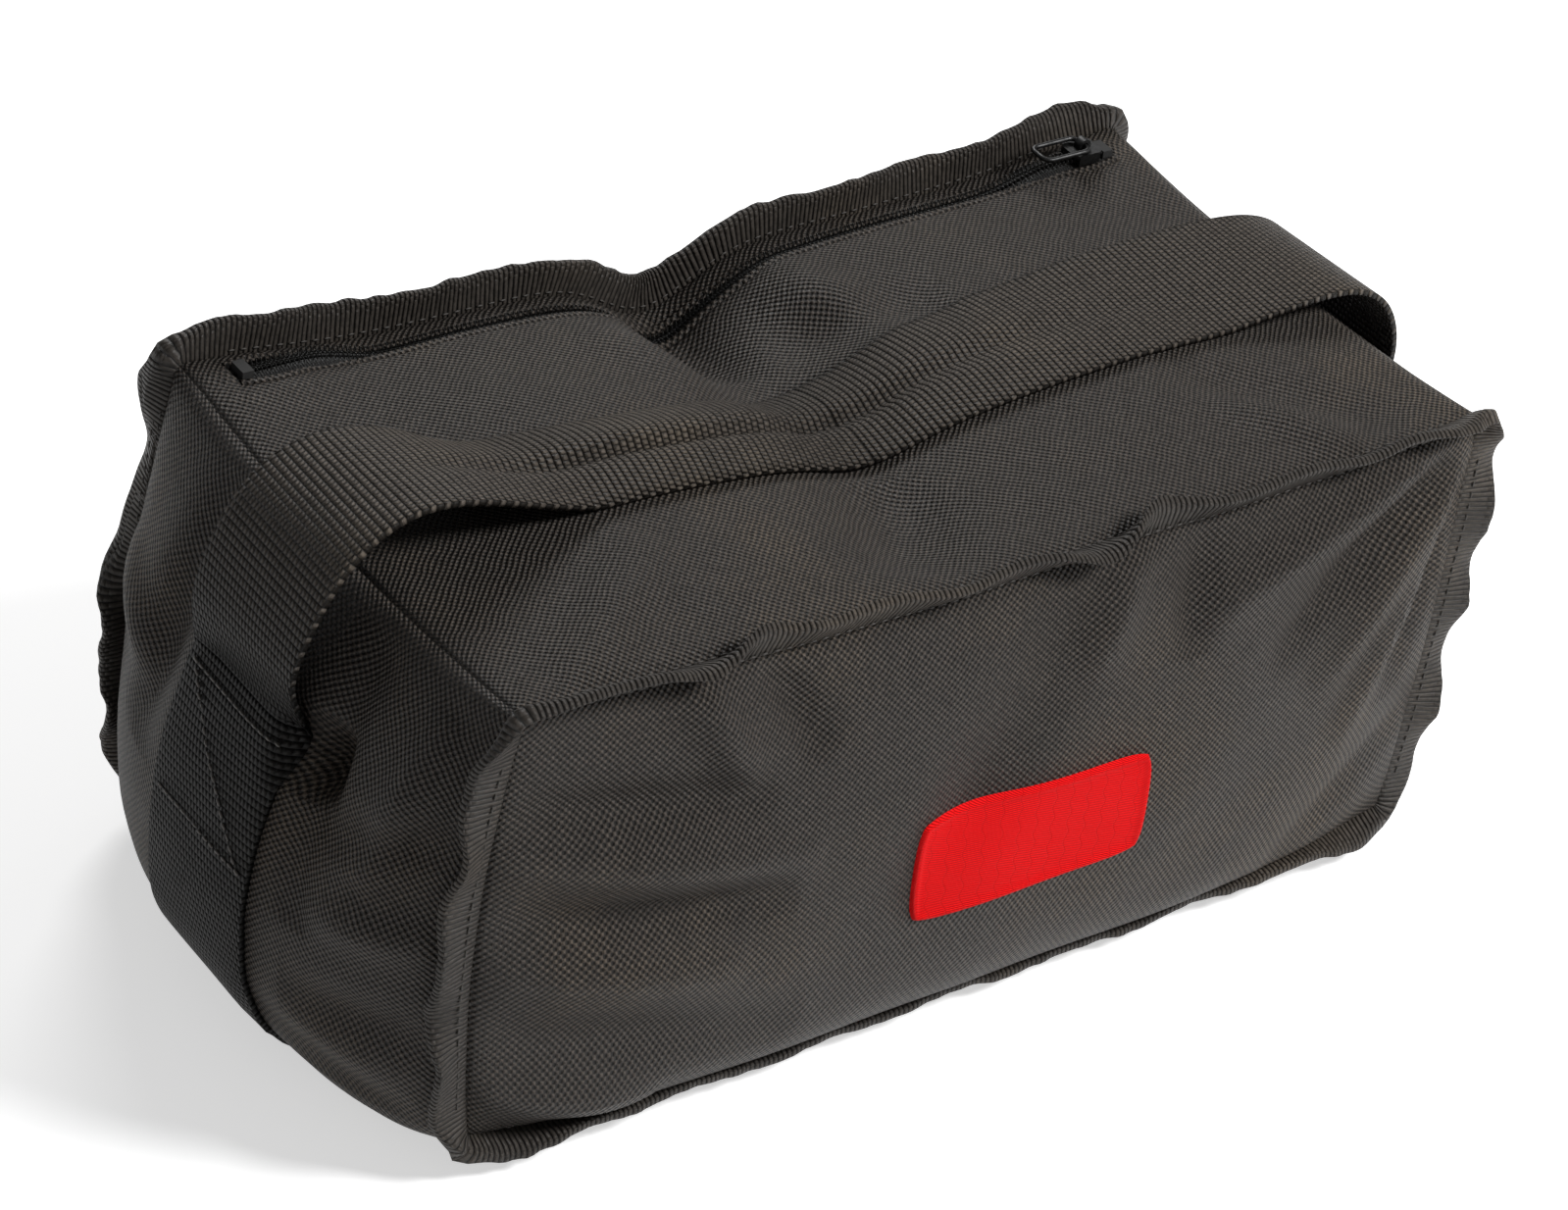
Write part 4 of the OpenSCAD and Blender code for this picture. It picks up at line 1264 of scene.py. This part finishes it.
def zip_coil(name, y, node, hand):
    """One coil, standing at y, wound one way (hand 1) or the other (hand -1)."""
    turns = round(COIL_LONG / COIL_PITCH)
    steps = turns * STEPS_ROUND
    bm = bmesh.new()
    bmesh.ops.create_circle(bm, segments=5, radius=COIL_WIRE)
    bmesh.ops.rotate(bm, cent=(0, 0, 0), matrix=Matrix.Rotation(math.pi / 2, 3, "X"), verts=bm.verts)
    bmesh.ops.translate(bm, vec=(0, 0, COIL_HALF - COIL_WIRE), verts=bm.verts)
    bmesh.ops.rotate(bm, cent=(0, 0, 0), matrix=Matrix.Rotation(math.pi / 2, 3, "Z"), verts=bm.verts)
    bmesh.ops.translate(bm, vec=(-COIL_LONG / 2, 0, 0), verts=bm.verts)
    bmesh.ops.rotate(bm, cent=(0, 0, 0), matrix=Matrix.Rotation(math.pi / 2, 3, "X"), verts=bm.verts)
    bmesh.ops.spin(bm, geom=bm.verts[:] + bm.edges[:], cent=(0, 0, 0), axis=(1, 0, 0),
                   dvec=(COIL_LONG / steps, 0, 0), angle=hand * 2 * math.pi * turns, steps=steps)
    for vert in bm.verts:
        vert.co.y += y
        vert.co.z += float(zip_level(vert.co.x)) + COIL_HALF
    bmesh.ops.recalc_face_normals(bm, faces=bm.faces)
    mesh = bpy.data.meshes.new(name)
    bm.to_mesh(mesh)
    bm.free()
    piece = dress(new_piece(name, mesh), coil_nylon)
    return finish_piece(piece, "bag", "zip_coil", node)


front_coil = zip_coil("front_zip_coil", 74.2 * MM, "zip_coil_front", 1)
rear_coil = zip_coil("rear_zip_coil", 77.8 * MM, "zip_coil_rear", -1)
print("coil faces:", len(front_coil.data.polygons))


# %% [markdown]
# A cut edge of the shell is folded under and sewn, so the opening has two
# rounded hems. Each is a thin roll on the edge of the cloth, with the shell's
# own weave, and it moves aside where the opening gapes.

# %% Turn the edges of the opening under
HEM_WIDE, HEM_THICK, HEM_ROUND = 1.5 * MM, 1.0 * MM, 6 * MM     # half sizes, and the way round


def hem_roll(name, y):
    """A roll of cloth along one edge of the opening."""
    side = math.copysign(1, y - ZIP_Y)
    tops = np.array([on_cloth((x, y + side * MM, OUTSIDE), (0, 0, -1)).z for x in zip_x])
    tops = softened(tops, 4, closed=False)

    def carry(u, v):
        x, turn = (2 * u - 1) * ZIP_HALF, 2 * np.pi * v
        apart = y + side * 2.6 * MM * bump(abs(x), GAPE_X, GAPE_WIDE) + HEM_WIDE * np.cos(turn)
        z = np.interp(x, zip_x, tops) - 0.5 * MM + HEM_THICK * np.sin(turn)
        return np.stack([x, apart, z], 1), np.stack([x, y + v * HEM_ROUND], 1)

    piece = dress(strip(name, 158, 10, carry, closed=True), shell_cloth)
    return finish_piece(piece, "bag", "shell_fabric")


hem_roll("front_zip_hem", SLOT_FRONT - 0.6 * MM)
hem_roll("rear_zip_hem", SLOT_REAR + 0.6 * MM)
print("hems sewn over the zip, mm long:", round(2 * ZIP_HALF / MM))

# %% [markdown]
# ## Badge
# A plain embroidered patch sits in the middle of the front. It is a grid laid
# on the cloth by looking straight back at it, thick in a rolled border and a
# little lower inside.

# %% Embroider the badge
badge_low, badge_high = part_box("front_badge")


def badge_carry(u, v):
    """The patch as it lies on the front, with slightly rounded corners and a raised border."""
    a, b = 2 * u - 1, 2 * v - 1
    middle = (badge_low + badge_high) / 2
    wide, tall = (badge_high.x - badge_low.x) / 2, (badge_high.z - badge_low.z) / 2
    x = middle.x + wide * a * (1 - 0.045 * abs(b) ** 5)
    z = middle.z + tall * b * (1 - 0.12 * abs(a) ** 9)
    inset = np.minimum((1 - abs(a)) * wide, (1 - abs(b)) * tall)
    border, edge = 0.7 * MM * bump(inset, 1.5 * MM, 1.2 * MM), 1.0 * MM * bump(inset, 0, 0.5 * MM)
    cloth_y = np.array([on_cloth((i, -OUTSIDE, k), (0, 1, 0)).y for i, k in zip(x, z)])
    y = cloth_y - (0.7 * MM + border - edge)
    return np.stack([x, y, z], 1), np.stack([a * wide, b * tall], 1)


badge = dress(strip("embroidered_badge", 112, 48, badge_carry), red_thread)
finish_piece(badge, "bag", "badge_thread", "front_badge")
print("badge:", len(badge.data.polygons), "faces")

# %% [markdown]
# ## Inside the bag
# Two tied pouches hold the sand. They take the bag's own shape, so each is
# the skin shrunk along its normals, cut down the middle and at the fill
# height, and closed. A spun neck is gathered up to its tie.

# %% Pouches and sand
NECK_X = 95 * MM


def shrunk_half(side, inset, top, gap):
    """One half of the skin, moved inwards, cut off at the fill height and closed."""
    bm = bmesh.new()
    bm.from_mesh(skin.data)
    bmesh.ops.smooth_vert(bm, verts=bm.verts, factor=0.5,
                          use_axis_x=True, use_axis_y=True, use_axis_z=True)
    bm.normal_update()
    for vert in bm.verts:
        vert.co -= vert.normal * inset
    for place, way in (((side * gap, 0, 0), (-side, 0, 0)), ((0, 0, top), (0, 0, 1))):
        bmesh.ops.bisect_plane(bm, geom=bm.verts[:] + bm.edges[:] + bm.faces[:], dist=1e-6,
                               plane_co=place, plane_no=way, clear_outer=True)
        open_edges = [edge for edge in bm.edges if edge.is_boundary]
        filled = bmesh.ops.holes_fill(bm, edges=open_edges, sides=0)
        bmesh.ops.triangulate(bm, faces=filled["faces"])
    return bm


def add_neck(bm, x, top):
    """A gathered neck: a profile spun round, then pinched into pleats, and moved over its pouch."""
    sand = top / MM
    profile = [(24, sand + 0.2), (16, sand + 1.5), (9, sand + 4), (5.6, sand + 8),
               (5.2, 146), (5.6, 148), (8, 150), (9.5, 151.5)]
    neck = bmesh.new()
    points = [neck.verts.new((r * MM, 0, z * MM)) for r, z in profile]
    lines = [neck.edges.new(pair) for pair in zip(points, points[1:])]
    bmesh.ops.spin(neck, geom=points + lines, cent=(0, 0, 0), axis=(0, 0, 1), dvec=(0, 0, 0),
                   angle=2 * math.pi, steps=60, use_merge=True)
    for vert in neck.verts:
        pleat = 1 + 0.09 * math.sin(10 * math.atan2(vert.co.y, vert.co.x))
        vert.co.x, vert.co.y = vert.co.x * pleat + x, vert.co.y * pleat
    bmesh.ops.recalc_face_normals(neck, faces=neck.faces)
    gathered = bpy.data.meshes.new("gathered")
    neck.to_mesh(gathered)
    neck.free()
    bm.from_mesh(gathered)
    bpy.data.meshes.remove(gathered)


def inner_piece(name, side, inset, top, gap, material, slot, node, neck=False):
    """A pouch or its sand: half the skin, moved in by inset, filled up to top, gap from the middle."""
    bm = shrunk_half(side, inset, top, gap)
    if neck:
        add_neck(bm, side * NECK_X, top)
    mesh = bpy.data.meshes.new(name)
    bm.to_mesh(mesh)
    bm.free()
    return finish_piece(dress(new_piece(name, mesh), material), "bag", slot, node)


for side, part in ((-1, "left"), (1, "right")):
    pouch = inner_piece(part + "_sand_pouch", side, 3 * MM, 135 * MM, 0.6 * MM, liner_cloth,
                        "liner", part + "_pouch", neck=True)
    fill = inner_piece(part + "_sand_fill", side, 4.2 * MM, 133.6 * MM, 1.8 * MM, dry_sand,
                       "sand", part + "_sand")
    print(pouch.name, len(pouch.data.polygons), "faces,", fill.name, len(fill.data.polygons), "faces")

# %% [markdown]
# ## Parts kept from the CAD
# The slider, its pull, the stops of the zip and the cords round the pouches
# are hard or plain enough to be used as they were built. They only get a
# finish. The skin that the panels were cut from has done its work by now, so
# it is taken away.

# %% Finish the nodes carried over from the CAD
carried_over = {"zip_slider": slider_metal, "zip_pull": slider_metal, "zip_end_stops": stop_nylon,
                "left_pouch_tie": tie_cord, "right_pouch_tie": tie_cord}
for node, material in carried_over.items():
    dress(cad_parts[node], material)
bpy.data.objects.remove(skin)
print("finished from the CAD:", sorted(carried_over))

# %% [markdown]
# ## Camera
# The bag is seen from its front left, from above, with a long lens that keeps
# its sides nearly parallel. Three angles and a distance place the camera; the
# roll is a turn about its line of sight.

# %% Camera
CAMERA_FAR, LENS_MM, SENSOR_MM = 1.4548, 112.6, 36
AZIMUTH, ELEVATION, ROLL = np.radians((-40.996, 35.426, 9.662))
BAG_MIDDLE = Vector((0, 0, 75 * MM))
AIM_LEFT, AIM_UP = 5.75 * MM, 7.02 * MM     # of the aim from the middle of the bag


def camera_axes(azimuth, elevation, roll):
    """Right, up and back directions of the camera."""
    level = math.cos(elevation)
    back = Vector((math.sin(azimuth) * level, -math.cos(azimuth) * level, math.sin(elevation)))
    right = Vector((0, 0, 1)).cross(back).normalized()
    up = back.cross(right)
    return (math.cos(roll) * right + math.sin(roll) * up,
            math.cos(roll) * up - math.sin(roll) * right, back)


right, up, back = camera_axes(AZIMUTH, ELEVATION, ROLL)
aim = BAG_MIDDLE - AIM_LEFT * right + AIM_UP * up
axes = Matrix((right, up, back)).transposed().to_4x4()
camera = bpy.data.objects.new("camera", bpy.data.cameras.new("camera"))
camera.data.lens, camera.data.sensor_width = LENS_MM, SENSOR_MM
camera.data.clip_start, camera.data.clip_end = 0.05, 20
camera.matrix_world = Matrix.Translation(aim + CAMERA_FAR * back) @ axes
bpy.context.scene.collection.objects.link(camera)
bpy.context.scene.camera = camera
print("camera at", [round(v, 3) for v in camera.matrix_world.translation])

# %% [markdown]
# ## Floor and lights
# The bag stands on a white floor. A large soft lamp, high in front and to the
# right, gives the long soft shadow to the left; a weaker one from behind
# draws the folds of the top. The floor glows a little, only for the camera
# and in reflections, so that it stays white without lighting the bag.

# %% Floor and lights
FLOOR_GLOW, SKY_GLOW = 0.56, 0.18
# name, place, target, size, power in watts
LAMPS = [("window", (0.80, -0.93, 1.33), (0, 0, 0.08), 0.5, 31.5),
         ("rear_window", (0.5, 1.1, 0.9), (0, 0, 0.12), 0.6, 10)]

bm = bmesh.new()
bmesh.ops.create_grid(bm, x_segments=2, y_segments=2, size=4)
floor_mesh = bpy.data.meshes.new("floor")
bm.to_mesh(floor_mesh)
bm.free()
floor = bpy.data.objects.new("floor", floor_mesh)
bpy.context.scene.collection.objects.link(floor)
floor_paint, do, plain = shader("floor_paint", (0.86, 0.86, 0.86), 0.9)
floor.data.materials.append(floor_paint)
seen = do.nodes.new("ShaderNodeLightPath").outputs
mirrored = do.math("MAXIMUM", seen["Is Glossy Ray"], seen["Is Transmission Ray"])
shown = do.math("MAXIMUM", seen["Is Camera Ray"], mirrored)
plain.inputs["Emission Color"].default_value = (1, 1, 1, 1)
do.links.new(do.math("MULTIPLY", shown, FLOOR_GLOW), plain.inputs["Emission Strength"])


def soft_lamp(name, place, target, size, power):
    """A round lamp at a place, turned towards its target."""
    lamp = bpy.data.objects.new(name, bpy.data.lights.new(name, "AREA"))
    lamp.data.shape = "DISK"
    lamp.data.size, lamp.data.energy = size, power
    turn = (Vector(place) - Vector(target)).to_track_quat("Z", "Y").to_matrix().to_4x4()
    lamp.matrix_world = Matrix.Translation(Vector(place)) @ turn
    bpy.context.scene.collection.objects.link(lamp)


for lamp in LAMPS:
    soft_lamp(*lamp)
world = bpy.data.worlds.new("studio")
bpy.context.scene.world = world
world.use_nodes = True
sky = world.node_tree.nodes["Background"].inputs
sky["Color"].default_value = (1, 1, 1, 1)
sky["Strength"].default_value = SKY_GLOW
bpy.context.scene.view_settings.view_transform = "Standard"
print("lamps:", [lamp[0] for lamp in LAMPS])
